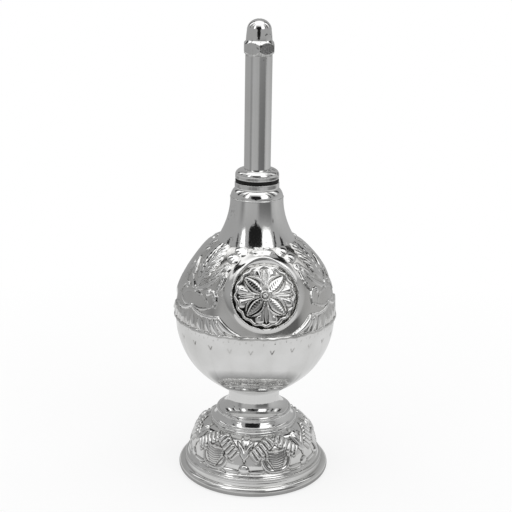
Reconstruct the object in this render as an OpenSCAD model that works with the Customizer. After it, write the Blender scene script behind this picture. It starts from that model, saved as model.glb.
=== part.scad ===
// Aspergillum, a silver holy-water sprinkler: a domed foot, a two-part bulb for the water,
// a conical neck, and a screw plug that carries a long tube with a nozzle at its tip.
// Millimetres, +Z up, origin at the centre of the ring that the foot stands on.

/* [Foot] */
// Outer diameter of the rolled rim that the object stands on
foot_d = 71.4; // [68:0.2:80]
// Diameter of the rolled rim's section
rim_d = 4.6; // [4.2:0.1:6]
// Depth of the flat worn on the underside of the rim
rim_flat = 0.2; // [0.1:0.05:0.4]
// Diameter of the wire that the rim is rolled over
wire_d = 2.8; // [2:0.1:3]
// Thickness of the foot's sheet
foot_wall = 0.8; // [0.6:0.1:1.2]
// Diameter that the dome swells to at its springing
dome_d = 60.7; // [58:0.1:63]
// Height of the dome's springing
dome_spring_z = 6.5; // [5.5:0.1:8]
// Height of the line where the dome meets the flange
dome_line_z = 9.4; // [8.5:0.1:11]
// Height of the foot's flat top
foot_top_z = 24.2; // [21:0.1:28]
// Diameter of the foot's flat top
foot_top_d = 41.2; // [40:0.1:44]
// Section radius of the bead round the flange
flange_bead_r = 0.6; // [0.3:0.1:1]

/* [Pedestal] */
// Height from the foot's top to the bottom of the bulb
pedestal_h = 15.4; // [14:0.1:20]
// Diameter of the narrowest part
pedestal_neck_d = 24; // [20:0.2:26]
// Thickness of the pedestal's wall
pedestal_wall = 1.2; // [0.8:0.1:1.6]
// Radius of the concave sweep below the neck
sweep_r = 6.3; // [5:0.1:7]
// Height of the sweep's centre above the foot's top
sweep_rise = 12.8; // [11.5:0.1:14]
// Diameter over the upper bead
upper_bead_d = 35.6; // [34:0.1:37]
// Height of the upper bead above the foot's top
upper_bead_rise = 5.6; // [4.8:0.1:6.2]
// Diameter over the lower bead
lower_bead_d = 40.6; // [38:0.1:41.5]
// Height of the lower bead above the foot's top
lower_bead_rise = 1.7; // [1.4:0.1:2.4]
// Section radius of both beads
bead_r = 0.7; // [0.4:0.1:1]
// Height of the straight edge at the pedestal's base
base_edge_h = 0.7; // [0.4:0.1:1]

/* [Bulb] */
// Outer radius of the lower half, which is part of a ball
bulb_r = 36.9; // [33:0.1:40]
// Height of the seam above the middle of that ball
seam_rise = 0.9; // [0.4:0.1:2]
// Outer radius of the upper half at the seam
upper_r = 37.2; // [33.5:0.1:40.5]
// Radius of the arc that the upper half's side follows
upper_side_r = 43.6; // [41:0.1:48]
// Thickness of the bulb's wall
bulb_wall = 1; // [0.8:0.1:1.5]
// How far the lip stands out at the seam
lip_out = 0.6; // [0.3:0.1:1]
// Height of the lip
lip_h = 1.2; // [0.8:0.1:2]
// Height of the band on the lower half that laps inside the upper half
lap_h = 2.5; // [1.5:0.1:4]

/* [Medallions] */
// Number of medallions round the bulb
medallion_count = 3; // [3]
// Azimuth of the first medallion, from the front towards the right
medallion_az = 8; // [0:1:30]
// Height of the medallions' centres above the seam
medallion_rise = 19.4; // [18.5:0.1:21]
// Diameter of a medallion
medallion_d = 27.6; // [24:0.1:29]
// Thickness of a medallion's plate
medallion_t = 0.9; // [0.7:0.1:1.2]
// How far a medallion's plate swells in its middle
medallion_dome = 1.4; // [0.8:0.1:1.8]
// Width of the raised edge round a medallion
medallion_edge_w = 0.8; // [0.5:0.1:1.2]
// Height of the raised edge and of the rosette's petals
medallion_relief = 0.8; // [0.4:0.1:1]
// Distance of the broad petals from a medallion's centre
petal_at = 6.9; // [6:0.1:7.2]
// Diameter of a broad petal
petal_d = 7.2; // [6:0.1:8]
// Distance of the small leaves from a medallion's centre
leaf_at = 8; // [7:0.1:9]
// Diameter of a small leaf
leaf_d = 3.6; // [3:0.1:4.2]
// Diameter of the button in a medallion's middle
button_d = 3.8; // [3:0.1:5]
// Outer diameter of the frame round a medallion
frame_d = 31.6; // [30:0.1:33]
// How far the frame's crest stands out of the bulb
frame_proud = 1.3; // [0.8:0.1:1.8]
// Depth of the frame, from its crest to its back inside the bulb
frame_h = 2.9; // [2.8:0.1:3.4]

// Width of the slope outside the frame's crest
frame_slope_w = 3.1; // [2:0.1:3.4]

/* [Leaves on the bulb] */
// How far the leaves stand out of the bulb
leaf_out = 0.9; // [0.6:0.1:1.2]
// Width of the narrow leaves
leaf_w = 2.8; // [2.4:0.1:3.2]
// Height of the feather's middle above the seam, along the side
feather_up = 33.8; // [33:0.1:34.5]
// Length of the feather
feather_len = 14; // [12:0.5:15]
// Width of the feather
feather_w = 7.4; // [6:0.1:8]
// Middle of a hooked leaf beside the feather: out from the panel's middle, and up from the seam
hook_at = [6.6, 27.6]; // [5:0.1:30]
// Radius of the hooked leaf's swell
hook_r = 4; // [3:0.5:5]
// Middle of the blade that springs from the panel's axis
blade_at = [5.6, 22.4]; // [4:0.1:26]
// Length of the blade
blade_len = 9.6; // [8:0.1:11]
// Slope of the blade, in degrees
blade_turn = 40; // [30:1:50]
// Middle of the scroll below the blade
scroll_at = [8.2, 18]; // [6:0.1:20]
// Radius of the scroll's swell
scroll_r = 2.4; // [2:0.1:3]
// Middle of the upright leaf beside the frame
edge_leaf_at = [11.6, 24.4]; // [10:0.1:27]
// Length of the upright leaf
edge_leaf_len = 8; // [6:0.1:9]
// Height of the bowl under the leaves above the seam, along the side
bowl_up = 8.4; // [7:0.1:10]
// Length of the bowl
bowl_len = 24; // [18:0.5:27]
// Middle of the side leaf under the frame
side_leaf_at = [21, 6]; // [19:0.1:23]
// Length of the side leaf
side_leaf_len = 8.4; // [7:0.1:10]
// Slope of the side leaf, in degrees
side_leaf_turn = -34; // [-45:1:-25]
// Height of the flower over a frame above the seam, along the side
flower_up = 39.4; // [38.6:0.1:39.8]
// Radius of the flower's swell
flower_r = 2.2; // [1.8:0.1:2.6]
// Middle of the lobe beside the flower: out from the frame's axis, and up from the seam
lobe_at = [8.6, 37.6]; // [7:0.1:39]

/* [Neck] */
// Diameter over the ferrule's foot
ferrule_foot_d = 35.8; // [33:0.1:37]
// Diameter over the ferrule's top
ferrule_top_d = 24.1; // [23:0.1:26]
// Height of the ferrule
ferrule_h = 19.4; // [17:0.1:24]
// Thickness of the ferrule's wall
ferrule_wall = 1; // [0.7:0.1:1.3]
// Height of the collar on the bulb that centres the ferrule
collar_h = 4; // [2:0.1:6]
// Inner diameter of the collar, which is the bulb's mouth
mouth_d = 26.4; // [24:0.1:27]
// Thickness of the collar
collar_wall = 1; // [0.7:0.1:1.2]
// Height of the bush's shoulder
shoulder_h = 4.3; // [3.5:0.1:6]
// Height of the straight edge under the shoulder
shoulder_edge_h = 0.9; // [0.5:0.1:1.5]
// Diameter over the bush's shoulder
shoulder_d = 24.4; // [23.4:0.1:26.4]
// Diameter of the bush's knurled band
bush_d = 20.2; // [19:0.1:21]
// Height of the knurled band
bush_band_h = 2.4; // [1.8:0.1:4]
// Width of the groove under the knurled band
bush_groove_h = 0.4; // [0.2:0.1:0.6]
// Depth of the groove under the knurled band
bush_groove_depth = 0.4; // [0.2:0.1:0.6]
// Length of the bush's tail inside the ferrule
bush_tail_h = 10; // [8:0.5:12]

/* [Screw plug] */
// Outer diameter of the plug's screw thread
plug_thread_d = 14; // [13:0.1:14.6]
// Rise of the plug's thread in one turn
plug_pitch = 1.5; // [1:0.25:2]
// Length of the threaded spigot below the seal's seat
spigot_h = 8.6; // [7:0.1:9.6]
// Depth of the plug's thread
plug_thread_depth = 0.85; // [0.5:0.05:1]
// Diameter of the flange
flange_d = 19.8; // [19:0.1:21]
// Height of the flange's knurled edge
flange_edge_h = 1.75; // [1.2:0.05:3]
// Height of the flange's rounded top
flange_top_h = 2.75; // [2:0.05:4]
// Thickness of the flange's floor under the tube
flange_floor = 0.8; // [0.6:0.1:1.5]
// Diameter of the water passage through the plug
plug_bore_d = 9.4; // [8:0.1:9.8]
// Section diameter of the seal
seal_d = 2; // [1.6:0.1:2.4]
// Height of the seal when the plug is screwed home
seal_h = 1.75; // [1.4:0.05:2]
// Outer diameter of the seal
seal_outer_d = 19.8; // [18.8:0.1:20.2]

/* [Tube and nozzle] */
// Outer diameter of the tube
tube_d = 12; // [11:0.1:13]
// Thickness of the tube's wall
tube_wall = 1; // [0.7:0.1:1.3]
// Length of the tube
tube_h = 54.1; // [40:0.1:80]
// Length of the nipple's shank inside the tube
shank_h = 8; // [5:0.5:12]
// Outer diameter of the nipple's screw thread
nipple_thread_d = 8; // [7.4:0.1:8.6]
// Rise of the nipple's thread in one turn
nipple_pitch = 1; // [0.75:0.25:1.25]
// Depth of the nipple's thread
nipple_thread_depth = 0.55; // [0.3:0.05:0.6]
// Length of the nipple above the tube
nipple_h = 6.8; // [5.5:0.1:7.5]
// Diameter of the water passage through the nipple
nipple_bore_d = 4.4; // [3:0.1:5]
// Thickness of the washer under the nozzle
washer_h = 0.85; // [0.5:0.05:1.5]
// Outer diameter of the washer under the nozzle
washer_d = 12.2; // [11.5:0.1:13]
// Width of the nozzle's hexagon across its flats
hex_af = 13; // [12.4:0.1:14]
// Azimuth of one of the hexagon's corners, from the front towards the right
hex_az = 3; // [0:1:59]
// Height of the hexagon
hex_h = 5.4; // [4.5:0.1:8]
// Height over which the hexagon's lower corners are turned off
hex_corner_h = 0.7; // [0.4:0.1:1]
// Height over which the hexagon's upper corners are turned off
hex_top_corner_h = 1.2; // [0.8:0.1:1.6]
// Diameter of the nozzle's dome
nozzle_dome_d = 11.6; // [11:0.1:12.4]
// Height of the nozzle
nozzle_h = 14.9; // [13.8:0.1:18]
// Depth of the nozzle's chamber
nozzle_chamber_h = 11.4; // [10.6:0.1:12]
// Diameter of the nozzle's chamber above its thread
nozzle_chamber_d = 7; // [6:0.1:7.4]
// Diameter of the spray hole
spray_d = 1.6; // [1:0.1:2.5]

/* [Foot bolt] */
// Diameter of the bolt that holds the bulb, the pedestal and the foot together
bolt_d = 6; // [5:0.1:8]
// Diameter of the bolt's head
bolt_head_d = 10; // [9:0.1:12]
// Height of the bolt's head
bolt_head_h = 2.4; // [1.5:0.1:4]
// Diameter of the plate under the bolt's head
plate_d = 18; // [14:0.5:22]
// Thickness of the plate at its edge
plate_edge = 0.8; // [0.5:0.1:1.5]
// Outer diameter of the washer under the nut
bolt_washer_d = 12.5; // [12:0.1:16]
// Thickness of the washer under the nut
bolt_washer_h = 1.2; // [0.8:0.1:2]
// Width of the nut across its flats
nut_af = 10; // [9.5:0.1:13]
// Height of the nut
nut_h = 5; // [3:0.1:7]
// Length of the bolt left showing below the nut
bolt_tail = 1.5; // [0.5:0.1:3]

/* [Fits] */
// Radial clearance of a piece that is soldered or clamped in another
fit = 0.03; // [0.01:0.01:0.08]
// Radial clearance of a screw thread
thread_fit = 0.1; // [0.06:0.01:0.2]
// Clearance round pieces that are set loosely
loose_fit = 0.2; // [0.1:0.05:0.3]

/* [Hidden] */

$fn = 96;
curve_steps = 24;
side_steps = 14;
dome_steps = 5;
thread_steps = 24;
over = 0.1;
silver = "#c8cacc";
bright_silver = "#d6d8da";
black_rubber = "#1c1c1d";
steel = "#8f9294";

rim_r = rim_d / 2;
rim_axis_r = foot_d / 2 - rim_r;
rim_z = rim_r - rim_flat;
dome_rx = (dome_d - foot_top_d) / 2;
dome_rz = foot_top_z - dome_spring_z;
dome_line_angle = asin((dome_line_z - dome_spring_z) / dome_rz);
dome_line_r = foot_top_d / 2 + dome_rx * cos(dome_line_angle);

ball_z = foot_top_z + pedestal_h + bulb_r;
seam_z = ball_z + seam_rise;
land_r = ferrule_foot_d / 2;
upper_axis_r = upper_r - upper_side_r;
land_angle = acos((land_r - upper_axis_r) / upper_side_r);
land_z = seam_z + upper_side_r * sin(land_angle);
bush_z = land_z + ferrule_h;
bush_top_z = bush_z + shoulder_h + bush_groove_h + bush_band_h;
plug_z = bush_top_z + seal_h;
socket_z = plug_z + flange_floor;
plug_top_z = plug_z + flange_edge_h + flange_top_h;
tube_top_z = socket_z + tube_h;
nozzle_z = tube_top_z + washer_h;
spigot_z = bush_top_z - spigot_h + seal_h / 2;
seal_inner_r = seal_outer_d / 2 - seal_d;

medallion_z = seam_z + medallion_rise;
medallion_tilt = asin(medallion_rise / upper_side_r);
medallion_r = upper_axis_r + upper_side_r * cos(medallion_tilt);
crest = frame_proud - pow(frame_d / 2, 2) / (2 * medallion_r) * cos(medallion_tilt);
medallion_seat = crest - medallion_t - medallion_relief;

bolt_hole_r = bolt_d / 2 + loose_fit;
plate_z = ball_z - sqrt(pow(bulb_r - bulb_wall - fit, 2) - pow(plate_d / 2, 2)) + plate_edge;
bolt_washer_z = foot_top_z - foot_wall - bolt_washer_h;
nut_z = bolt_washer_z - nut_h;

// Points along part of an ellipse, as radius and height
function ellipse_arc(cr, cz, rx, rz, from, to, steps = curve_steps) =
    [for (i = [0 : steps])
        let (a = from + (to - from) * i / steps)
        [cr + rx * cos(a), cz + rz * sin(a)]];

// Points along the side of the bulb's upper half
function upper_side(r, from, to) = ellipse_arc(upper_axis_r, seam_z, r, r, from, to, side_steps);

// Points along the ferrule's concave side, from its foot to its top, set in by a wall
function ferrule_side(wall) =
    [for (i = [0 : curve_steps])
        let (t = i / curve_steps)
        [ferrule_top_d / 2 - wall + (ferrule_foot_d - ferrule_top_d) / 2 * pow(1 - t, 2),
         land_z + ferrule_h * t]];

function reversed(points) = [for (i = [len(points) - 1 : -1 : 0]) points[i]];

// A ring cut from a tube
module ring(outer_r, inner_r, h) {
    difference() {
        cylinder(r = outer_r, h = h);
        translate([0, 0, -over])
            cylinder(r = inner_r, h = h + 2 * over);
    }
}

// A screw thread's ridge, wound upwards to the right, that fades into its core at both ends
module thread_ridge(core_r, depth, pitch, length) {
    root_r = core_r - 0.3;
    faded_r = core_r - 0.15;
    turns = length / pitch - 1;
    count = ceil(turns * thread_steps);
    fade = thread_steps / 3;
    root_w = pitch * 0.8;
    tip_w = pitch * 0.2;
    sections = [for (i = [0 : count])
        let (
            a = 360 * i / thread_steps,
            z = pitch * (0.5 + i / thread_steps),
            rise = min(1, i / fade, (count - i) / fade),
            tip_r = faded_r + (core_r + depth - faded_r) * rise
        )
        [for (p = [[root_r, -root_w / 2], [tip_r, -tip_w / 2], [tip_r, tip_w / 2], [root_r, root_w / 2]])
            [p[0] * cos(a), p[0] * sin(a), z + p[1]]]];
    points = [for (s = sections) for (p = s) p];
    sides = [for (i = [0 : count - 1]) for (j = [0 : 3])
        let (k = 4 * i + j, m = 4 * i + (j + 1) % 4)
        for (f = [[k, m, m + 4], [k, m + 4, k + 4]]) f];
    last = 4 * count;
    ends = [[0, 2, 1], [0, 3, 2], [last, last + 1, last + 2], [last, last + 2, last + 3]];
    polyhedron(points = points, faces = concat(sides, ends), convexity = 10);
}

// Carries what is drawn at a medallion's centre, with +Z straight out of the bulb, to its place
module at_medallion(i) {
    rotate([0, 0, medallion_az + i * 360 / medallion_count])
        translate([0, -medallion_r, medallion_z])
            rotate([90 - medallion_tilt, 0, 0])
                children();
}

// Carries what is drawn flat to a point on the bulb's upper side, out from an axis and up from the seam
module on_bulb(at) {
    tilt = at[1] / upper_side_r * 180 / PI;
    r = upper_axis_r + upper_side_r * cos(tilt);
    rotate([0, 0, at[0] / r * 180 / PI])
        translate([0, -r, seam_z + upper_side_r * sin(tilt)])
            rotate([90 - tilt, 0, 0])
                children();
}

// A round swell on a surface
module swell(r, high) {
    translate([0, 0, high - r])
        sphere(r = r);
}

// A leaf along X on a surface that bends with the radius given: part of a ring that dips in at both ends
module leaf(length, width, high, bend) {
    section_r = (width * width / 4 + high * high) / (2 * high);
    ring_r = 1 / (8 * high / (length * length) + 1 / bend);
    half_turn = (length / 2 + high) / ring_r * 180 / PI;
    translate([0, 0, high - ring_r])
        rotate([90, 0, 0])
            rotate([0, 0, 90 - half_turn])
                rotate_extrude(angle = 2 * half_turn)
                    translate([ring_r - section_r, 0])
                        circle(r = section_r);
}

// The leaves of one panel between two medallions, before the chamber is cut out of them
module panel_leaves() {
    on_bulb([0, feather_up])
        rotate([0, 0, 90])
            leaf(feather_len, feather_w, leaf_out, upper_side_r);
    on_bulb([0, bowl_up])
        leaf(bowl_len, leaf_w, leaf_out, upper_r);
    for (side = [-1, 1]) {
        on_bulb([side * hook_at[0], hook_at[1]])
            swell(hook_r, leaf_out);
        on_bulb([side * blade_at[0], blade_at[1]])
            rotate([0, 0, side * blade_turn])
                leaf(blade_len, leaf_w, leaf_out, upper_side_r);
        on_bulb([side * scroll_at[0], scroll_at[1]])
            swell(scroll_r, leaf_out);
        on_bulb([side * edge_leaf_at[0], edge_leaf_at[1]])
            rotate([0, 0, 90])
                leaf(edge_leaf_len, leaf_w, leaf_out, upper_side_r);
        on_bulb([side * side_leaf_at[0], side_leaf_at[1]])
            rotate([0, 0, side * side_leaf_turn])
                leaf(side_leaf_len, leaf_w, leaf_out, upper_side_r);
    }
}

// The flower and the lobes over one frame, before the chamber is cut out of them
module frame_crown() {
    on_bulb([0, flower_up])
        swell(flower_r, leaf_out);
    for (side = [-1, 1])
        on_bulb([side * lobe_at[0], lobe_at[1]])
            swell(scroll_r, leaf_out);
}

module foot_dome() {
    rim_axis = [rim_axis_r, rim_z];
    join_outer = 75;
    join_inner = 125;
    flange_mid = ([dome_line_r, dome_line_z] + rim_axis + [0, rim_r]) / 2;
    color(silver)
        difference() {
            union() {
                rotate_extrude()
                    translate(rim_axis)
                        circle(r = rim_r);
                rotate_extrude()
                    translate(flange_mid)
                        circle(r = flange_bead_r);
                rotate_extrude()
                    polygon(concat(
                        [[bolt_hole_r, foot_top_z - foot_wall], [bolt_hole_r, foot_top_z]],
                        ellipse_arc(foot_top_d / 2, dome_spring_z, dome_rx, dome_rz, 90, dome_line_angle),
                        [rim_axis + rim_r * [cos(join_outer), sin(join_outer)],
                         rim_axis + rim_r * [cos(join_inner), sin(join_inner)]],
                        ellipse_arc(foot_top_d / 2, dome_spring_z, dome_rx - foot_wall, dome_rz - foot_wall,
                            dome_line_angle, 90)
                    ));
            }
            rotate_extrude()
                translate(rim_axis)
                    circle(r = wire_d / 2 + fit);
            translate([0, 0, -rim_d])
                cylinder(d = foot_d, h = rim_d);
        }
}

module rim_wire() {
    color(steel)
        rotate_extrude()
            translate([rim_axis_r, rim_z])
                circle(d = wire_d);
}

module pedestal() {
    neck_r = pedestal_neck_d / 2;
    lower = [lower_bead_d / 2 - bead_r, foot_top_z + lower_bead_rise];
    upper = [upper_bead_d / 2 - bead_r, foot_top_z + upper_bead_rise];
    base_r = lower_bead_d / 2;
    sweep_z = foot_top_z + sweep_rise;
    outer_end = 255;
    inner_end = 245;
    inner_sweep_r = sweep_r + pedestal_wall;
    color(silver)
        difference() {
            rotate_extrude() {
                union() {
                    translate(lower)
                        circle(r = bead_r);
                    translate(upper)
                        circle(r = bead_r);
                    polygon(concat(
                        [[base_r, foot_top_z], [base_r, foot_top_z + base_edge_h], lower, upper],
                        ellipse_arc(neck_r + sweep_r, sweep_z, sweep_r, sweep_r, outer_end, 180),
                        [[neck_r, ball_z], [neck_r - pedestal_wall, ball_z]],
                        ellipse_arc(neck_r + sweep_r, sweep_z, inner_sweep_r, inner_sweep_r, 180, inner_end),
                        [upper - [2 * pedestal_wall, 0], [base_r - 2 * pedestal_wall, foot_top_z]]
                    ));
                }
            }
            translate([0, 0, ball_z])
                sphere(r = bulb_r);
        }
}

module bulb_lower() {
    lap_r = upper_axis_r + sqrt(pow(upper_side_r - bulb_wall, 2) - pow(lap_h, 2)) - loose_fit;
    lap_z = seam_z - lap_h;
    color(silver)
        difference() {
            union() {
                intersection() {
                    translate([0, 0, ball_z])
                        sphere(r = bulb_r);
                    cylinder(r = bulb_r, h = seam_z);
                }
                translate([0, 0, lap_z])
                    cylinder(r = lap_r, h = 2 * lap_h);
            }
            intersection() {
                translate([0, 0, ball_z])
                    sphere(r = bulb_r - bulb_wall);
                cylinder(r = bulb_r, h = lap_z + over);
            }
            translate([0, 0, lap_z])
                cylinder(r = min(lap_r, bulb_r) - bulb_wall, h = 2 * lap_h + over);
            cylinder(r = bolt_hole_r, h = ball_z);
        }
}

module bulb_upper() {
    mouth_r = mouth_d / 2;
    collar_r = mouth_r + collar_wall;
    inner_side_r = upper_side_r - bulb_wall;
    inner_angle = asin((land_z - bulb_wall - seam_z) / inner_side_r);
    lip_angle = asin(lip_h / upper_side_r);
    color(bright_silver)
        difference() {
            union() {
                rotate_extrude()
                    polygon(concat(
                        [[upper_r + lip_out, seam_z], [upper_r + lip_out, seam_z + lip_h / 2]],
                        upper_side(upper_side_r, lip_angle, land_angle),
                        [[collar_r, land_z], [collar_r, land_z + collar_h], [mouth_r, land_z + collar_h],
                         [mouth_r, land_z - bulb_wall]],
                        upper_side(inner_side_r, inner_angle, 0)
                    ));
                for (i = [0 : medallion_count - 1])
                    at_medallion(i)
                        translate([0, 0, crest - frame_h])
                            cylinder(r1 = frame_d / 2 + frame_slope_w, r2 = frame_d / 2, h = frame_h);
                difference() {
                    for (i = [0 : medallion_count - 1])
                        rotate([0, 0, medallion_az + i * 360 / medallion_count]) {
                            frame_crown();
                            rotate([0, 0, 180 / medallion_count])
                                panel_leaves();
                        }
                    rotate_extrude()
                        polygon(concat(
                            [[0, land_z], [0, seam_z]],
                            upper_side(upper_side_r - bulb_wall / 2, 0, land_angle)
                        ));
                }
            }
            for (i = [0 : medallion_count - 1])
                at_medallion(i)
                    translate([0, 0, medallion_seat])
                        cylinder(d = medallion_d + 2 * loose_fit, h = frame_d);
        }
}

// The profile of a domed plate, from its radius, the height of its edge and the swell in its middle
function domed(r, edge_z, swell) =
    let (dome_r = (r * r + swell * swell) / (2 * swell))
    concat(
        [[0, 0], [r, 0]],
        ellipse_arc(0, edge_z + swell - dome_r, dome_r, dome_r, acos(r / dome_r), 90, dome_steps)
    );

// A stamped rosette: a domed plate with a raised edge, four broad petals, four narrow ones and a button
module medallion(i) {
    plate_r = medallion_d / 2;
    color(bright_silver)
        at_medallion(i)
            translate([0, 0, medallion_seat]) {
                rotate_extrude()
                    polygon(domed(plate_r, medallion_t, medallion_dome));
                intersection() {
                    rosette(medallion_t + medallion_dome + medallion_relief + over);
                    rotate_extrude()
                        polygon(domed(plate_r + over, medallion_t + medallion_relief, medallion_dome));
                }
            }
}

// The upright sides of a rosette's edge, petals and button, before their tops are rounded
module rosette(h) {
    ring(medallion_d / 2, medallion_d / 2 - medallion_edge_w, h);
    cylinder(d = button_d, h = h);
    for (a = [45 : 90 : 315])
        rotate([0, 0, a])
            translate([petal_at, 0, 0])
                cylinder(d = petal_d, h = h);
    for (a = [0 : 90 : 270])
        rotate([0, 0, a])
            translate([leaf_at, 0, 0])
                cylinder(d = leaf_d, h = h);
}

module medallion_front() {
    medallion(0);
}

module medallion_right() {
    medallion(1);
}

module medallion_left() {
    medallion(2);
}

module neck_ferrule() {
    color(silver)
        rotate_extrude()
            polygon(concat(ferrule_side(0), reversed(ferrule_side(ferrule_wall))));
}

module neck_bush() {
    shoulder_r = shoulder_d / 2;
    band_r = bush_d / 2;
    groove_r = band_r - bush_groove_depth;
    tail_z = bush_z - bush_tail_h;
    groove_z = bush_z + shoulder_h;
    band_z = groove_z + bush_groove_h;
    tail_r = ferrule_top_d / 2 - ferrule_wall - fit;
    bore_r = plug_thread_d / 2 + thread_fit;
    color(silver)
        rotate_extrude()
            polygon(concat(
                [[bore_r, tail_z], [tail_r, tail_z], [tail_r, bush_z], [shoulder_r, bush_z]],
                ellipse_arc(band_r, bush_z + shoulder_edge_h, shoulder_r - band_r,
                    shoulder_h - shoulder_edge_h, 0, 90),
                [[groove_r, groove_z], [groove_r, band_z], [band_r, band_z],
                 [band_r, bush_top_z], [bore_r, bush_top_z]]
            ));
}

module seal_ring() {
    section_r = seal_d / 2;
    color(black_rubber)
        translate([0, 0, bush_top_z])
            rotate_extrude()
                intersection() {
                    translate([seal_outer_d / 2 - section_r, seal_h / 2])
                        circle(r = section_r);
                    square([seal_outer_d, seal_h]);
                }
}

module screw_plug() {
    core_r = plug_thread_d / 2 - plug_thread_depth;
    seat_r = seal_inner_r - fit;
    flange_r = flange_d / 2;
    socket_r = tube_d / 2 + fit;
    seat_z = bush_top_z + seal_h / 2;
    edge_z = plug_z + flange_edge_h;
    color(silver)
        difference() {
            union() {
                rotate_extrude()
                    polygon(concat(
                        [[0, spigot_z], [core_r, spigot_z], [core_r, seat_z], [seat_r, seat_z],
                         [seat_r, plug_z], [flange_r, plug_z]],
                        ellipse_arc(socket_r, edge_z, flange_r - socket_r, flange_top_h, 0, 90),
                        [[0, plug_top_z]]
                    ));
                translate([0, 0, spigot_z])
                    thread_ridge(core_r, plug_thread_depth, plug_pitch, spigot_h - seal_h / 2);
            }
            translate([0, 0, spigot_z - over])
                cylinder(d = plug_bore_d, h = plug_top_z - spigot_z);
            translate([0, 0, socket_z])
                cylinder(r = socket_r, h = plug_top_z);
        }
}

module stem_tube() {
    color(bright_silver)
        translate([0, 0, socket_z])
            ring(tube_d / 2, tube_d / 2 - tube_wall, tube_h);
}

module nozzle_nipple() {
    core_r = nipple_thread_d / 2 - nipple_thread_depth;
    shank_r = tube_d / 2 - tube_wall - fit;
    color(silver)
        difference() {
            union() {
                translate([0, 0, tube_top_z - shank_h])
                    cylinder(r = shank_r, h = shank_h);
                translate([0, 0, tube_top_z - over])
                    cylinder(r = core_r, h = nipple_h + over);
                translate([0, 0, tube_top_z + washer_h])
                    thread_ridge(core_r, nipple_thread_depth, nipple_pitch, nipple_h - washer_h);
            }
            translate([0, 0, tube_top_z - shank_h - over])
                cylinder(d = nipple_bore_d, h = shank_h + nipple_h + 2 * over);
        }
}

module nozzle_washer() {
    color(bright_silver)
        translate([0, 0, tube_top_z])
            ring(washer_d / 2, nipple_thread_d / 2 + thread_fit, washer_h);
}

// A hexagon with its corners turned off at both ends, under a dome with the spray hole at its top
module nozzle_cap() {
    dome_r = nozzle_dome_d / 2;
    hex_r = hex_af / 2 / cos(30);
    chamber_r = nozzle_chamber_d / 2;
    thread_h = nipple_h - washer_h + loose_fit;
    color(bright_silver)
        translate([0, 0, nozzle_z])
            difference() {
                union() {
                    intersection() {
                        rotate([0, 0, hex_az - 90])
                            cylinder(r = hex_r, h = hex_h, $fn = 6);
                        union() {
                            cylinder(r1 = hex_af / 2, r2 = hex_r + over, h = hex_corner_h);
                            translate([0, 0, hex_corner_h])
                                cylinder(r = hex_r + over, h = hex_h - hex_corner_h - hex_top_corner_h);
                            translate([0, 0, hex_h - hex_top_corner_h])
                                cylinder(r1 = hex_r + over, r2 = dome_r, h = hex_top_corner_h);
                        }
                    }
                    cylinder(r = dome_r, h = nozzle_h - dome_r);
                    translate([0, 0, nozzle_h - dome_r])
                        sphere(r = dome_r);
                }
                translate([0, 0, -over])
                    cylinder(r = nipple_thread_d / 2 + thread_fit, h = thread_h + over);
                translate([0, 0, thread_h - over])
                    cylinder(r = chamber_r, h = nozzle_chamber_h - thread_h + over);
                cylinder(d = spray_d, h = nozzle_h + over);
            }
}

module bolt_plate() {
    seat_r = bulb_r - bulb_wall - fit;
    plate_r = plate_d / 2;
    color(steel)
        rotate_extrude()
            polygon(concat(
                ellipse_arc(0, ball_z, seat_r, seat_r, -acos(bolt_hole_r / seat_r), -acos(plate_r / seat_r)),
                [[plate_r, plate_z], [bolt_hole_r, plate_z]]
            ));
}

module foot_bolt() {
    color(steel) {
        translate([0, 0, nut_z - bolt_tail])
            cylinder(d = bolt_d, h = plate_z - nut_z + bolt_tail + over);
        translate([0, 0, plate_z])
            cylinder(d = bolt_head_d, h = bolt_head_h);
    }
}

module bolt_washer() {
    color(steel)
        translate([0, 0, bolt_washer_z])
            ring(bolt_washer_d / 2, bolt_hole_r, bolt_washer_h);
}

module foot_nut() {
    color(steel)
        translate([0, 0, nut_z])
            difference() {
                cylinder(r = nut_af / 2 / cos(30), h = nut_h, $fn = 6);
                translate([0, 0, -over])
                    cylinder(r = bolt_d / 2 + fit, h = nut_h + 2 * over);
            }
}

foot_dome();
rim_wire();
pedestal();
bulb_lower();
bulb_upper();
medallion_front();
medallion_right();
medallion_left();
neck_ferrule();
neck_bush();
seal_ring();
screw_plug();
stem_tube();
nozzle_nipple();
nozzle_washer();
nozzle_cap();
bolt_plate();
foot_bolt();
bolt_washer();
foot_nut();
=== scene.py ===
import math

import bmesh
import bpy
import numpy as np
from mathutils import Matrix, Vector


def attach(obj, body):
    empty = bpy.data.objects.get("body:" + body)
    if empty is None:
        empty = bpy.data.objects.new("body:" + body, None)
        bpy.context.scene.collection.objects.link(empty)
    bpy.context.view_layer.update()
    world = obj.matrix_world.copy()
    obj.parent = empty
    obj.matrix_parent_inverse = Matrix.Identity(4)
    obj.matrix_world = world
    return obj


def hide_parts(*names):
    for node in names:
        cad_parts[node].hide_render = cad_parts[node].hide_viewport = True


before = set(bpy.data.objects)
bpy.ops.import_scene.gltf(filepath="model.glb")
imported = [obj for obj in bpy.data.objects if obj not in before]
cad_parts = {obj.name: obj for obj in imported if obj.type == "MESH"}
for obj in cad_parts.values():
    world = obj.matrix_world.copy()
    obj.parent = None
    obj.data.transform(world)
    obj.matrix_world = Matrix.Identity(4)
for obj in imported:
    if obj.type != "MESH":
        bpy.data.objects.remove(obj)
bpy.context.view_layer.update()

# Foot dome
# The foot is one brass sheet, raised into a dome, chased with six leaf cups and silver plated.
# Its edge is rolled over a wire, so it stands on a smooth ring.
MM = 0.001
FOOT_TOP = 24.2
DOME_CENTRE = (20.6, 6.5)
DOME_RX = 9.75
DOME_RZ = 17.7
DOME_LINE = 9.43
FOOT_WALL = 0.8
BOLT_HOLE = 3.2
ROLL_CENTRE = (33.4, 2.1)
ROLL = 2.3
FOOT_STEPS = 600
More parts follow.
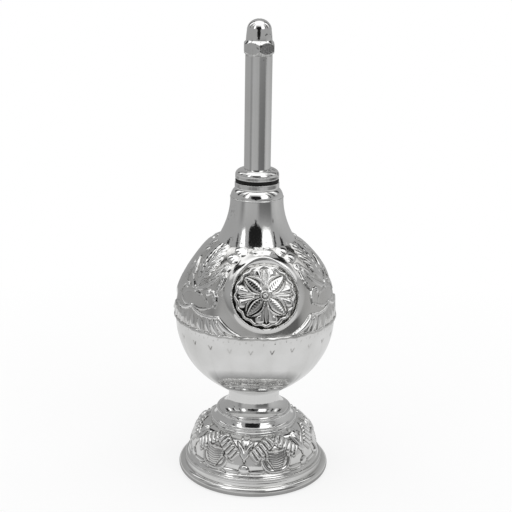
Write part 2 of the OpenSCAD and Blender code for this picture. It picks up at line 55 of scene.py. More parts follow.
SECTORS = 12
FOOT_TURN = 8.0
CUP_SPACING = 60.0
RELIEF_END = 19.6
CREVICE_DEPTH = 0.1
BARB_LEAN = 0.6
BARB_NOTCH = 0.14
BARB_DEPTH = 0.2
SHIELD_MIDDLE = 5.8
SHIELD_HALF_WIDTH = 5.2
SHIELD_HALF_HEIGHT = 5.0
FOLD_PEAK = 16.6
FOLD_LENGTH = 15.2
FOLD_HALF_WIDTH = 2.9
FOLD_PLEATS = 6.5
SILVER_BRIGHT = (0.82, 0.82, 0.815, 1)
SILVER_STAINED = (0.7, 0.7, 0.69, 1)
# The dull and black colours below also serve for a painted dark reflection on the frames' seats and the
# medallions.
SILVER_DULL_AND_PAINTED_SHADE = (0.46, 0.45, 0.43, 1)
TARNISH_AND_PAINTED_SHADE_BLACK = (0.03, 0.03, 0.028, 1)


def arc(centre, radius, start, end, steps, height=None):
    """Points of a profile on an arc or an ellipse, from one angle to another in degrees."""
    rise = radius if height is None else height
    turns = np.radians(np.linspace(start, end, steps + 1))
    return [(centre[0] + radius * math.cos(a), centre[1] + rise * math.sin(a)) for a in turns]


def lathe(profile, steps):
    """Spins a closed profile, given as radius and height in mm, once round the object's axis."""
    bm = bmesh.new()
    rim = [bm.verts.new((r * MM, 0, z * MM)) for r, z in profile]
    lines = [bm.edges.new(pair) for pair in zip(rim, rim[1:] + rim[:1])]
    axis = {"axis": (0, 0, 1), "cent": (0, 0, 0)}
    bmesh.ops.spin(bm, geom=rim + lines, angle=math.tau / SECTORS, steps=steps // SECTORS, **axis)
    sector = bm.verts[:] + bm.edges[:] + bm.faces[:]
    bmesh.ops.spin(
        bm, geom=sector, angle=math.tau, steps=SECTORS, use_duplicate=True, use_merge=True, **axis
    )
    bmesh.ops.remove_doubles(bm, verts=bm.verts, dist=0.001 * MM)
    bmesh.ops.recalc_face_normals(bm, faces=bm.faces)
    return bm


def places(bm):
    """Where the vertices of a mesh are, in mm, one row each."""
    return np.array([v.co[:] for v in bm.verts]) / MM


def move_to(bm, spots, hollow=None):
    """Moves the vertices to new places in mm, and notes how dark each one is, from tarnish in the relief's
    gaps and from painted shade.
    """
    for v, spot in zip(bm.verts, spots):
        v.co = Vector(spot) * MM
    if hollow is not None:
        depth = bm.verts.layers.float.new("hollow")
        for v, value in zip(bm.verts, hollow):
            v[depth] = value


def bent(start, bend, end, steps=10):
    """Points along a curve from start to end that is drawn towards bend."""
    t = np.linspace(0, 1, steps + 1)[:, None]
    return (1 - t) ** 2 * np.array(start) + 2 * t * (1 - t) * np.array(bend) + t**2 * np.array(end)


def nearest(x, y, line):
    """Distance of each place from a line, and its share of the way along it."""
    far, share = np.full(x.shape, 1e9), np.zeros(x.shape)
    for i, ((ax, ay), (bx, by)) in enumerate(zip(line[:-1], line[1:])):
        dx, dy = bx - ax, by - ay
        t = np.clip(((x - ax) * dx + (y - ay) * dy) / (dx * dx + dy * dy), 0, 1)
        away = np.hypot(x - ax - t * dx, y - ay - t * dy)
        closer = away < far
        far = np.where(closer, away, far)
        share = np.where(closer, (i + t) / (len(line) - 1), share)
    return far, share


def ridge(share):
    """A rounded ridge: 1 in its middle, and 0 where its share of the half width passes 1."""
    return np.clip(1 - share**2, 0, 1)


def stroke(x, y, line, width, height, taper=0.5):
    """A rounded ridge along a line, that thins towards its end."""
    away, share = nearest(x, y, line)
    half = width / 2 * (1 - taper * share)
    return height * (1 - taper * share) * ridge(away / half)


def leaf(x, y, line, width, height, barbs=0, vein=0.25):
    """A pointed leaf along a line, with a vein and with barbs that lean towards its tip."""
    away, share = nearest(x, y, line)
    half = width / 2 * np.sin(np.pi * np.clip(share, 0.02, 0.98) ** 0.8) ** 0.7
    out = np.clip(away / half, 0, 1)
    ripple = 1
    if barbs:
        length = np.hypot(*np.diff(line, axis=0).T).sum()
        wave = np.mod(barbs * (share - BARB_LEAN * out * width / length), 1)
        out = np.clip(out / (1 - BARB_NOTCH * wave), 0, 1)
        ripple = 1 - BARB_DEPTH + BARB_DEPTH * np.sin(np.pi * wave) ** 0.7
    groove = 1 - vein * np.exp(-((away / (0.09 * width)) ** 2))
    return height * (1 - out**2) ** 0.75 * groove * ripple


def bead(x, y, centre, radius, height):
    """A round boss."""
    away = np.hypot(x - centre[0], y - centre[1])
    return height * np.sqrt(ridge(away / radius))


def crevice(relief, x, y, reach=0.45):
    """How far each place of a relief lies below what is round it, from 0 to 1."""
    steps = ((reach, 0), (-reach, 0), (0, reach), (0, -reach))
    round_it = [relief(x + dx, y + dy) for dx, dy in steps]
    return np.clip((np.mean(round_it, axis=0) - relief(x, y)) / CREVICE_DEPTH, 0, 1)


def shield(cup, up):
    """The hatched shield in the middle of a cup, which narrows to its bottom."""
    half = SHIELD_HALF_WIDTH * (1 - 0.75 * np.clip((6.4 - up) / 5.4, 0, 1))
    share = np.maximum(np.abs(cup) / half, np.abs(up - SHIELD_MIDDLE) / SHIELD_HALF_HEIGHT)
    hatch = 0.06 * np.cos(2 * np.pi * (up - 0.2 * cup) / 0.95)
    brim = 0.28 * np.exp(-(((share - 0.84) / 0.08) ** 2))
    return np.clip((1 - share) * 6, 0, 1) * (0.6 + hatch + brim)


def folds(cup, up):
    """The pleated folds that slope down to both sides from a peak over the shield."""
    below = FOLD_PEAK - up
    along = (np.abs(cup) * 0.77 + below * 0.64) / FOLD_LENGTH
    off = (np.abs(cup) * 0.64 - below * 0.77) / FOLD_HALF_WIDTH
    ribs = np.abs(np.cos(np.pi * (along * FOLD_PLEATS + 0.18 * off))) ** 0.6
    roof = (0.1 + 1.05 * ribs) * np.clip(1 - np.abs(off) ** 6, 0, 1)
    return roof * np.clip(along / 0.08, 0, 1) * np.clip((1 - along) / 0.1, 0, 1)


def foot_relief(side, cup, up):
    """Height of the foot's relief, with side measured from a leaf and cup from a cup's middle."""
    forms = [
        # The leaf between two cups, its side leaf and its stalk
        leaf(side, up, bent((0, 11.6), (0, 16), (0, 20.8)), 4.4, 0.7, vein=0.1),
        leaf(side, up, bent((0.2, 6.6), (0.9, 10.4), (3.8, 14.8)), 2.5, 0.8, vein=0.1),
        stroke(side, up, bent((0, 5.8), (0, 10), (0, 15)), 0.9, 0.6, 0.5),
        # The bead and the tongue under them
        bead(side, up, (0, 1.6), 2.3, 0.8),
        leaf(side, up, bent((2.4, 0.9), (6.0, -0.2), (10.4, 1.6)), 2.6, 0.5, vein=0),
        # The strap round the shield, which ends in a bead
        stroke(cup, up, bent((0, 0.6), (7.0, 0.2), (6.8, 7.6), 16), 2.7, 0.75, 0.6),
        bead(cup, up, (6.3, 7.6), 1.1, 0.75),
        shield(cup, up),
        folds(cup, up),
    ]
    return np.max(forms, axis=0)


foot_profile = [(BOLT_HOLE, FOOT_TOP), (12, FOOT_TOP)]
foot_profile += arc(DOME_CENTRE, DOME_RX, 90, DOME_LINE, 84, DOME_RZ)
foot_profile += [(30.38, 9.0), (30.8, 8.75), (31.2, 8.2), (31.45, 7.6)]
foot_profile += arc((31.9, 6.8), 0.75, 110, -25, 8)
foot_profile += [(32.8, 5.9), (32.95, 5.1)]
foot_profile += arc(ROLL_CENTRE, ROLL, 98, -65.9, 20)
foot_profile += arc(ROLL_CENTRE, ROLL, -114.1, -215, 8)
foot_profile += arc(DOME_CENTRE, DOME_RX - FOOT_WALL, DOME_LINE, 90, 18, DOME_RZ - FOOT_WALL)
foot_profile += [(BOLT_HOLE, FOOT_TOP - FOOT_WALL)]

bm = lathe(foot_profile, FOOT_STEPS)
spots = places(bm)
out = np.hypot(spots[:, 0], spots[:, 1])
across = (out - DOME_CENTRE[0]) / DOME_RX
above = (spots[:, 2] - DOME_CENTRE[1]) / DOME_RZ
skin = (np.abs(np.hypot(across, above) - 1) < 0.004) & (across > 0) & (above > 0.16)
lean = np.linspace(math.radians(DOME_LINE), math.pi / 2, 200)
run = np.hypot(DOME_RX * np.sin(lean), DOME_RZ * np.cos(lean)) * (lean[1] - lean[0])
up = np.interp(np.arctan2(above, across), lean, np.cumsum(run))
turn = np.degrees(np.arctan2(spots[:, 0], -spots[:, 1]))
from_leaf = np.abs(np.mod(turn + FOOT_TURN + CUP_SPACING / 2, CUP_SPACING) - CUP_SPACING / 2)
side = np.radians(from_leaf) * out
pitch = np.radians(CUP_SPACING / 2) * out
height = foot_relief(side, pitch - side, up)
gap = crevice(lambda x, y: foot_relief(x, pitch - x, y), side, up)
height = np.where(skin, height * np.clip((RELIEF_END - up) / 1.2, 0, 1), 0)
facing = np.stack([across / DOME_RX, above / DOME_RZ], -1)
facing /= np.linalg.norm(facing, axis=1)[:, None] + 1e-9
spots[:, :2] *= (1 + height * facing[:, 0] / np.maximum(out, 1))[:, None]
spots[:, 2] += height * facing[:, 1]
# The plate has gone dark in a wedge between two straps and in every gap of the relief.
wedge = np.clip(1 - np.abs(up - 4.9) / 1.3, 0, 1) * np.clip(1 - side / 1.5, 0, 1)
hollow = 0.1 * np.clip(1 - height / 0.45, 0, 1) + 1.9 * gap
hollow += 1.8 * wedge * np.clip(1 - height / 0.3, 0, 1)
move_to(bm, spots, np.where(skin & (up < RELIEF_END - 0.2), hollow, 0.2))


class Value:
    """A socket in a material's nodes. Sums on it add Math nodes."""

    def __init__(self, tree, socket=None):
        self.tree = tree
        self.socket = socket

    def node(self, kind, settings=None, inputs=None, out=0):
        """Adds any other node: its type, its settings, and the values or links of its sockets."""
        made = self.tree.nodes.new(kind)
        for key, value in (settings or {}).items():
            if key == "stops":
                elements = made.color_ramp.elements
                for position, _ in value[1:-1]:
                    elements.new(position)
                for element, (_, colour) in zip(elements, value):
                    element.color = colour
            else:
                setattr(made, key, value)
        for key, value in (inputs or {}).items():
            if isinstance(value, Value):
                self.tree.links.new(value.socket, made.inputs[key])
            else:
                made.inputs[key].default_value = value
        return Value(self.tree, made.outputs[out] if made.outputs else None)

    def math(self, operation, first, second):
        return self.node("ShaderNodeMath", {"operation": operation}, {0: first, 1: second})

    def __add__(self, other):
        return self.math("ADD", self, other)

    __radd__ = __add__

    def __sub__(self, other):
        return self.math("SUBTRACT", self, other)

    def __rsub__(self, other):
        return self.math("SUBTRACT", other, self)

    def __mul__(self, other):
        return self.math("MULTIPLY", self, other)

    __rmul__ = __mul__

    def clamp(self):
        return self.node("ShaderNodeClamp", inputs={"Value": self})

    def mix(self, share, first, second):
        """A colour between two others."""
        return self.node("ShaderNodeMix", {"data_type": "RGBA"}, {0: share, 6: first, 7: second}, 2)

    def noise(self, scale, detail=3.0):
        """Cloudy noise from 0 to 1 on these coordinates."""
        return self.node("ShaderNodeTexNoise", None, {"Vector": self, "Scale": scale, "Detail": detail})


def new_finish(name):
    """A bare material, the start of its nodes, and a piece's own coordinates."""
    material = bpy.data.materials.new(name)
    material.use_nodes = True
    material.node_tree.nodes.clear()
    start = Value(material.node_tree)
    return material, start, start.node("ShaderNodeTexCoord", out="Object")


def finish_output(start, surface):
    """Ends a material with its surface."""
    start.node("ShaderNodeOutputMaterial", inputs={"Surface": surface})


def metal(start, inputs):
    """The surface of a bare or plated metal."""
    return start.node("ShaderNodeBsdfPrincipled", None, {"Metallic": 1.0, **inputs})


def chased_silver():
    """Polished silver plate that has gone dull and dark where the cloth doesn't reach, and that also carries
    a painted dark reflection on the frames' seats and the medallions.
    """
    material, start, place = new_finish("chased_silver")
    cloud = place.noise(70)
    hollow = start.node("ShaderNodeAttribute", {"attribute_name": "hollow"}, out="Fac")
    dark = (hollow.clamp() * (cloud * 0.7 + 0.1)).clamp()
    stain = (place.noise(55, 4.0) * 3 - 1).clamp()
    silver = start.mix(dark, start.mix(stain, SILVER_BRIGHT, SILVER_STAINED), SILVER_DULL_AND_PAINTED_SHADE)
    colour = start.mix((hollow - 1).clamp(), silver, TARNISH_AND_PAINTED_SHADE_BLACK)
    dents = {"Strength": 0.5, "Distance": 0.00014, "Height": place.noise(150, 2.0)}
    grain = {"Strength": 0.35, "Distance": 0.00002, "Height": place.noise(1400, 2.0)}
    uneven = start.node("ShaderNodeBump", None, dents)
    bump = start.node("ShaderNodeBump", None, {**grain, "Normal": uneven})
    rough = cloud * 0.06 + dark * 0.14 + 0.03
    finish_output(start, metal(start, {"Base Color": colour, "Roughness": rough, "Normal": bump}))
    return material


def show(bm, name, finish, slot, body, *nodes, crease=35):
    """Makes a finished piece of a mesh, that rides on a body and stands for its CAD nodes."""
    mesh = bpy.data.meshes.new(name)
    bm.to_mesh(mesh)
    bm.free()
    mesh.shade_smooth()
    mesh.set_sharp_from_angle(angle=math.radians(crease))
    mesh.materials.append(finish)
    made = bpy.data.objects.new(name, mesh)
    bpy.context.scene.collection.objects.link(made)
    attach(made, body)
    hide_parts(*nodes)


CHASED = chased_silver()
show(bm, "foot_dome_chased", CHASED, "chased_silver", "vessel", "foot_dome", crease=60)

# Rim wire
# A plain zinc-plated steel wire, bent into a ring. The foot's edge is rolled over it, so it is
# hidden and keeps the rim round.
WIRE = 1.4
ZINC_LIGHT = (0.56, 0.56, 0.55, 1)
ZINC_DARK = (0.42, 0.42, 0.42, 1)


def circle(centre, radius):
    """Points of a round profile."""
    return arc(centre, radius, 0, 345, 23)


def zinc_steel():
    """Zinc-plated steel: dull, a little cloudy."""
    material, start, place = new_finish("zinc_steel")
    cloud = place.noise(240)
    colour = start.mix(cloud, ZINC_LIGHT, ZINC_DARK)
    finish_output(start, metal(start, {"Base Color": colour, "Roughness": cloud * 0.2 + 0.25}))
    return material


STEEL = zinc_steel()
bm = lathe(circle(ROLL_CENTRE, WIRE), 96)
show(bm, "rim_wire_ring", STEEL, "steel", "vessel", "rim_wire")

# Pedestal
# A spun brass waist with two beads and fine turned lines, silver plated. The foot bolt clamps it
# between the foot and the bulb.
BALL_CENTRE = 76.5
BALL = 36.9
PEDESTAL_BASE = 20.3
PEDESTAL_NECK = 12.0
PEDESTAL_WALL = 1.2
PEDESTAL_BEAD = 0.7
SWEEP_CENTRE = (18.3, 37.0)
SWEEP = 6.3
PLAIN_BRIGHT = (0.8, 0.8, 0.795, 1)
PLAIN_WORN = (0.66, 0.66, 0.65, 1)
PLAIN_SPECK = (0.2, 0.2, 0.195, 1)


def plain_silver():
    """Polished silver plate with fine wear lines along the axis, a few specks and a slight grain."""
    material, start, place = new_finish("plain_silver")
    cloud = place.noise(90)
    stretched = start.node("ShaderNodeMapping", None, {"Vector": place, "Scale": (2600, 2600, 60)})
    lines = stretched.noise(1.0, 2.0)
    specks = (place.noise(800, 1.0) * place.noise(60, 2.0) * 14 - 5.6).clamp()
    colour = start.mix(specks, start.mix(lines * cloud, PLAIN_BRIGHT, PLAIN_WORN), PLAIN_SPECK)
    uneven = place.noise(110, 1.0) + lines * 0.12 + place.noise(1100, 2.0) * 0.7
    bump = start.node("ShaderNodeBump", None, {"Strength": 0.5, "Distance": 0.00005, "Height": uneven})
    rough = cloud * 0.06 + lines * 0.05 + 0.03
    finish_output(start, metal(start, {"Base Color": colour, "Roughness": rough, "Normal": bump}))
    return material


def ball_height(radius):
    """Height of the ball's underside at a distance from the axis."""
    return BALL_CENTRE - math.sqrt(BALL**2 - radius**2)


PLAIN = plain_silver()
inner_neck = PEDESTAL_NECK - PEDESTAL_WALL
pedestal_profile = [(PEDESTAL_BASE, FOOT_TOP), (PEDESTAL_BASE, 24.8), (20.15, 24.95), (19.85, 25.25)]
pedestal_profile += arc((19.6, 25.9), PEDESTAL_BEAD, -60, 110, 10)
pedestal_profile += [(19.2, 26.65), (18.75, 27.0), (18.6, 27.3), (18.15, 27.75), (18.0, 28.1), (17.6, 28.6)]
pedestal_profile += [(17.35, 29.1)]
pedestal_profile += arc((17.1, 29.8), PEDESTAL_BEAD, -40, 130, 10)
pedestal_profile += arc(SWEEP_CENTRE, SWEEP, 252, 180, 28)
pedestal_profile += [(PEDESTAL_NECK, ball_height(PEDESTAL_NECK)), (inner_neck, ball_height(inner_neck))]
pedestal_profile += arc(SWEEP_CENTRE, SWEEP + PEDESTAL_WALL, 180, 245, 10)
pedestal_profile += [(14.7, 29.8), (17.9, FOOT_TOP)]
bm = lathe(pedestal_profile, 240)
show(bm, "pedestal_turned", PLAIN, "plain_silver", "vessel", "pedestal", crease=50)

# Lower half of the bulb
# The lower half is a raised brass ball with shallow flutes and a row of punched dots, silver
# plated. A band at its top laps inside the upper half.
SEAM = 77.4
BULB_WALL = 1.0
LAP = 35.9
LAP_HEIGHT = 2.5
BULB_STEPS = 600
FLUTES = 24
FLUTE_TURN = 2.7
FLUTE_DEPTH = 0.2
FLUTE_TOP = 70.6
FLUTE_ARCH = 2.6
NOTCH_LOW = 70.2
NOTCH_HIGH = 72.2
DOT_LEVEL = 75.8
DOT_SPACING = 4
BOTTOM_SWELL = 1.2

seam_turn = math.degrees(math.asin((SEAM - BALL_CENTRE) / BALL))
hole_turn = math.degrees(math.acos(BOLT_HOLE / BALL))
lap_inside = LAP - BULB_WALL
lower_profile = arc((0, BALL_CENTRE), BALL, -hole_turn, seam_turn, 104)
lower_profile += [(LAP, SEAM), (LAP, SEAM + LAP_HEIGHT), (lap_inside, SEAM + LAP_HEIGHT), (lap_inside, SEAM)]
lower_profile += arc((0, BALL_CENTRE), BALL - BULB_WALL, -2, -hole_turn, 24)
bm = lathe(lower_profile, BULB_STEPS)
spots = places(bm)
reach = np.linalg.norm(spots - (0, 0, BALL_CENTRE), axis=1)
skin = np.abs(reach - BALL) < 0.05
turn = np.degrees(np.arctan2(spots[:, 0], -spots[:, 1]))
z = spots[:, 2]
flute = np.mod(turn + FLUTE_TURN, 360 / FLUTES) / (360 / FLUTES)
lobe = np.sin(np.pi * flute)
fade = np.clip((z - 45) / 14, 0, 1) ** 1.3
inside = np.clip((FLUTE_TOP + FLUTE_ARCH * lobe**0.6 - z) / 0.8, 0, 1)
height = FLUTE_DEPTH * inside * fade * (np.sqrt(lobe) - 1)
off = np.abs(np.abs(flute - 0.5) - 0.5) * 2 * np.pi * BALL / FLUTES
beyond = np.clip(NOTCH_LOW - z, 0, 9) + np.clip(z - NOTCH_HIGH, 0, 9)
notch = np.abs(off - np.clip(z - NOTCH_LOW, 0, NOTCH_HIGH - NOTCH_LOW) * 0.45) + beyond
notch = np.clip(1 - notch / 0.55, 0, 1)
beside = (np.mod(turn, DOT_SPACING) - DOT_SPACING / 2) * np.pi * BALL / 180
dots = np.hypot(beside, z - DOT_LEVEL - 0.7 * np.sin(turn * 0.9))
dots = np.clip(1 - dots / (0.45 + 0.25 * np.sin(turn * 2.3)), 0, 1)
height = np.where(skin, height - 0.4 * notch - 0.22 * dots, 0)
spots += (spots - (0, 0, BALL_CENTRE)) * (height / reach)[:, None]
out = np.hypot(spots[:, 0], spots[:, 1])
spots[:, 2] -= np.where(skin, BOTTOM_SWELL * np.clip((24 - out) / 12, 0, 1) ** 1.5, 0)
hollow = np.clip(-height, 0, 1) + (1.3 + 0.5 * np.sin(turn * 0.11)) * notch + 1.5 * dots
move_to(bm, spots, np.where(skin, hollow, 0.3))
show(bm, "bulb_lower_fluted", CHASED, "chased_silver", "vessel", "bulb_lower", crease=60)

# Foot bolt
# A zinc-plated bolt with a round head hangs through a domed plate in the bottom of the bulb. Its
# washer and its hexagon nut under the foot clamp the bulb, the pedestal and the foot together.
BOLT = 3.0
BOLT_LOW = 15.7
BOLT_HEAD = 5.0
HEAD_LOW = 42.58
HEAD_TOP = 44.98
NUT_BORE = 3.05
NUT_FACE = 4.9
NUT_FLATS = 10
NUT_CORNERS = 5.9
NUT_LOW = 17.2
NUT_TOP = 22.2
BOLT_WASHER = 6.25
BOLT_WASHER_TOP = 23.4


def hexagon(bm, across_flats, low, high, turn, chamfer_low, chamfer_high, steep=1.1):
    """Cuts the side of a spun piece to a hexagon between two heights, with its corners turned off."""
    spots = places(bm)
    out = np.hypot(spots[:, 0], spots[:, 1])
    where = np.degrees(np.arctan2(spots[:, 0], -spots[:, 1])) - turn
    off = np.radians(np.abs(np.mod(where, 60) - 30))
    flat = across_flats / 2 / np.cos(off)
    z = spots[:, 2]
    cone = across_flats / 2 + np.minimum(z - low + chamfer_low, high + chamfer_high - z) * steep
    limit = np.minimum(flat, cone)
    side = (out > across_flats / 2 - 0.01) & (z > low - 0.01) & (z < high + 0.01)
    share = np.where(side, limit / np.maximum(out, 0.01), 1)
    spots[:, :2] *= share[:, None]
    move_to(bm, spots)


def rings(radius, low, high, count):
    """Points up the side of a cylinder."""
    return [(radius, z) for z in np.linspace(low, high, count)]


plate_profile = arc((0, BALL_CENTRE), BALL - BULB_WALL - 0.03, -90 + 5.12, -90 + 14.3, 6)
plate_profile += [(9.0, 42.3), (8.7, HEAD_LOW), (BOLT_HOLE, HEAD_LOW)]
bm = lathe(plate_profile, 96)
show(bm, "bolt_plate_domed", STEEL, "steel", "vessel", "bolt_plate")

bolt_profile = [(0, BOLT_LOW), (BOLT - 0.5, BOLT_LOW), (BOLT, BOLT_LOW + 0.5)]
bolt_profile += [(BOLT, HEAD_LOW), (BOLT_HEAD, HEAD_LOW)]
bolt_profile += [(BOLT_HEAD, 44.4), (BOLT_HEAD - 0.4, HEAD_TOP), (0, HEAD_TOP)]
bm = lathe(bolt_profile, 48)
show(bm, "foot_bolt_round_head", STEEL, "steel", "vessel", "foot_bolt")

bolt_washer_profile = [(BOLT_HOLE, NUT_TOP), (6.1, NUT_TOP), (BOLT_WASHER, 22.35), (BOLT_WASHER, 23.25)]
bolt_washer_profile += [(6.1, BOLT_WASHER_TOP), (BOLT_HOLE, BOLT_WASHER_TOP)]
bm = lathe(bolt_washer_profile, 72)
show(bm, "bolt_washer_plain", STEEL, "steel", "vessel", "bolt_washer")

nut_profile = [(NUT_BORE, NUT_LOW), (NUT_FACE, NUT_LOW)] + rings(NUT_CORNERS, NUT_LOW, NUT_TOP, 14)
nut_profile += [(NUT_FACE, NUT_TOP), (NUT_BORE, NUT_TOP)]
bm = lathe(nut_profile, 96)
hexagon(bm, NUT_FLATS, NUT_LOW, NUT_TOP, 0, 0.0, 0.0)
show(bm, "foot_nut_hexagon", STEEL, "steel", "vessel", "foot_nut", crease=25)

# Upper half of the bulb
# The upper half is raised from brass, chased with leaves and scrolls between three round frames,
# and silver plated. It is pressed over the lower half's band.
SIDE_AXIS = -6.4
SIDE = 43.6
LAND_TURN = 56.13
LAND = 113.6
LIP = 37.8
LIP_HEIGHT = 1.1
COLLAR = 14.2
COLLAR_HEIGHT = 4
MOUTH = 13.2
MEDALLION_TURN = 8.0
MEDALLION_SPACING = 120
MEDALLION_RISE = 19.4
MEDALLION_TILT = math.asin(MEDALLION_RISE / SIDE)
MEDALLION_OUT = SIDE_AXIS + SIDE * math.cos(MEDALLION_TILT)
CREST = 14.9
CREST_PEAK = 2.2
CREST_LEVEL = -2.0
SEAT = 13.95
SEAT_LEVEL = -3.82
FRAME_BACK = -5.02
FRAME_REACH = 15.8
FRAME_SPREAD = 45


def panel_relief(x, y):
    """Leaves and scrolls of half a panel: x is measured from the panel's middle, y up from the seam."""
    forms = [
        # The feather in the middle, over its bead
        bead(x, y, (0, 18.4), 1.2, 0.8),
        leaf(x, y, bent((0, 21.6), (0, 35), (0, 48.0)), 12.4, 0.9, barbs=9, vein=0.4),
        # The leaves beside it
        leaf(x, y, bent((0.5, 18.8), (5.5, 20.0), (10.2, 27.2)), 2.8, 0.55),
        leaf(x, y, bent((5.6, 24.4), (8.4, 26.6), (10.2, 32.6)), 3.2, 0.75),
        leaf(x, y, bent((11.6, 19.0), (13.2, 25.0), (11.6, 30.6)), 3.0, 0.8, barbs=6),
        # A bead with a leaf that curls down beside the frame
        bead(x, y, (7.8, 18.7), 1.6, 0.85),
        leaf(x, y, bent((8.0, 19.6), (12.8, 18.8), (13.6, 12.8)), 2.5, 0.75, barbs=5),
        # The scrolls under them
        stroke(x, y, bent((0.8, 17.2), (8.0, 17.0), (9.8, 12.6)), 1.4, 0.25, 0.3),
        stroke(x, y, bent((0.4, 11.0), (6.0, 6.8), (15.8, 8.8)), 1.8, 0.6, 0.25),
        stroke(x, y, bent((1.6, 11.0), (7.0, 9.8), (12.2, 13.2)), 1.4, 0.35, 0.3),
        # The leaves that reach under the frame
        leaf(x, y, bent((16.6, 8.6), (18.6, 3.6), (27.0, 1.9)), 3.0, 1.0, vein=0),
        leaf(x, y, bent((15.4, 7.0), (17.4, 4.4), (20.6, 1.2)), 2.4, 0.7, vein=0),
    ]
    hanging = (
        ((1.8, 7.6), (2.0, 0.6), 3.0, 0.3),
        ((6.2, 6.9), (8.2, 0.3), 3.6, 0.38),
        ((10.4, 7.3), (13.2, 0.5), 2.8, 0.32),
        ((13.6, 7.4), (17.6, 0.3), 3.4, 0.45),
    )
    for root, tip, width, high in hanging:
        bend = (root[0] * 0.8 + tip[0] * 0.2, 3.9)
        forms.append(leaf(x, y, bent(root, bend, tip), width, high, vein=0))
    return np.max(forms, axis=0)


def on_circle(radius, turn):
    """A place round a frame's middle, at a turn in degrees from its top."""
    return radius * math.sin(math.radians(turn)), radius * math.cos(math.radians(turn))


def crown_relief(p, q):
    """A flower and lobes round the top of a frame, in the medallion's own plane."""
    forms = [bead(p, q, (0, 19.2), 1.6, 1.1)]
    for spread, reach in ((0, 5.8), (40, 5.6), (80, 5.4)):
        x, y = on_circle(reach, spread)
        tip = (x, y + 18.8)
        forms.append(leaf(p, q, bent((0, 18.6), (x * 0.5, 20.2), tip), 3.4, 1.0, vein=0.1))
    for spread, reach, radius in ((23, 22.6, 2.8), (36, 21.6, 2.5)):
        forms.append(bead(p, q, on_circle(reach, spread), radius, 0.7))
    for spread in (50, 62):
        root, tip = on_circle(19.6, spread + 5), on_circle(21.0, spread - 4)
        forms.append(leaf(p, q, bent(root, tip, tip), 3.6, 0.5, vein=0))
    return np.max(forms, axis=0)


def painted_reflection_lower_left(p, q):
    """Runs from 0 at a frame's upper right to 1 at its lower left, where the painted dark reflection is
    strongest.
    """
    return 0.5 - 0.5 * (p + q) / np.maximum(np.hypot(p, q) * math.sqrt(2), 1)


def medallion_place(k):
    """Turns a medallion's own plane, with its normal along Z, into place number k on the bulb."""
    turn = math.radians(MEDALLION_TURN + MEDALLION_SPACING * k)
    seat = Matrix.Translation((0, -MEDALLION_OUT * MM, (SEAM + MEDALLION_RISE) * MM))
    lean = Matrix.Rotation(math.pi / 2 - MEDALLION_TILT, 4, "X")
    return Matrix.Rotation(turn, 4, "Z") @ seat @ lean


def outwards(turn, lean):
    """Directions away from the axis, at a turn round it and a lean upwards."""
    flat = np.cos(lean)
    return np.stack([np.sin(turn) * flat, -np.cos(turn) * flat, np.sin(lean) + 0 * turn], -1)


side_profile = [(LIP - 0.3, SEAM), (LIP, SEAM + 0.2), (LIP, SEAM + 0.75), (LIP - 0.25, SEAM + 1.05)]
side_profile += arc((SIDE_AXIS, SEAM), SIDE, 1.6, LAND_TURN, 126)
side_profile += [(COLLAR, LAND), (COLLAR, LAND + COLLAR_HEIGHT)]
side_profile += [(MOUTH, LAND + COLLAR_HEIGHT), (MOUTH, LAND - BULB_WALL)]
side_profile += arc((SIDE_AXIS, SEAM), SIDE - BULB_WALL, 55.5, 3.4, 18)
side_profile += [(LAP + 0.05, SEAM + LAP_HEIGHT), (LAP + 0.05, SEAM)]
bm = lathe(side_profile, BULB_STEPS)
spots = places(bm)
out = np.hypot(spots[:, 0], spots[:, 1])
rise = spots[:, 2] - SEAM
reach = np.hypot(out - SIDE_AXIS, rise)
outer = (np.abs(reach - SIDE) < 0.02) & (rise > LIP_HEIGHT)
lean = np.arctan2(rise, out - SIDE_AXIS)
turn = np.arctan2(spots[:, 0], -spots[:, 1])

# Leaves and scrolls are raised in the panels between the frames.
from_first = np.degrees(turn) - MEDALLION_TURN
from_panel = np.radians(np.abs(np.mod(from_first, MEDALLION_SPACING) - MEDALLION_SPACING / 2))
height = panel_relief(from_panel * out, lean * SIDE)
gap = crevice(panel_relief, from_panel * out, lean * SIDE)

# A crown is raised over each frame, and the frame is sunk to a seat for its medallion.
half_spacing = MEDALLION_SPACING / 2
from_frame = np.radians(np.mod(from_first + half_spacing, MEDALLION_SPACING) - half_spacing)
p = out * np.sin(from_frame)
ahead = out * np.cos(from_frame) - MEDALLION_OUT
q = (rise - MEDALLION_RISE) * math.cos(MEDALLION_TILT) - ahead * math.sin(MEDALLION_TILT)
level = (rise - MEDALLION_RISE) * math.sin(MEDALLION_TILT) + ahead * math.cos(MEDALLION_TILT)
crown = crown_relief(np.abs(p), q)
gap = np.where(crown > height, crevice(crown_relief, np.abs(p), q), gap)
height = np.maximum(height, crown)
rho = np.hypot(p, q)
crest = CREST + CREST_PEAK * np.clip(q / rho, 0, 1) ** 7
slope = np.clip((rho - crest) / (1.2 + 3.4 * np.clip(0.62 + 0.5 * q / rho, 0, 1)), 0, 1)
groove = np.clip((crest - rho) / (crest - SEAT), 0, 1)
seat = CREST_LEVEL - level + (SEAT_LEVEL - CREST_LEVEL) * groove**1.5
ground = np.where(rho < crest, seat, np.maximum(CREST_LEVEL - level, 0) * (1 - slope) ** 2.2)
near = outer & (slope < 1) & (np.abs(from_frame) < math.radians(FRAME_SPREAD))
height = np.where(near, height * np.clip((slope - 0.3) / 0.3, 0, 1), height)
height = np.where(outer, height, 0)
inner = (np.abs(reach - SIDE + BULB_WALL) < 0.02) & (rho < FRAME_REACH)
push = np.where(inner, np.minimum(FRAME_BACK - level, 0), np.where(near, ground, 0))
spots += outwards(turn, lean) * height[:, None]
spots += outwards(turn - from_frame, MEDALLION_TILT) * push[:, None]
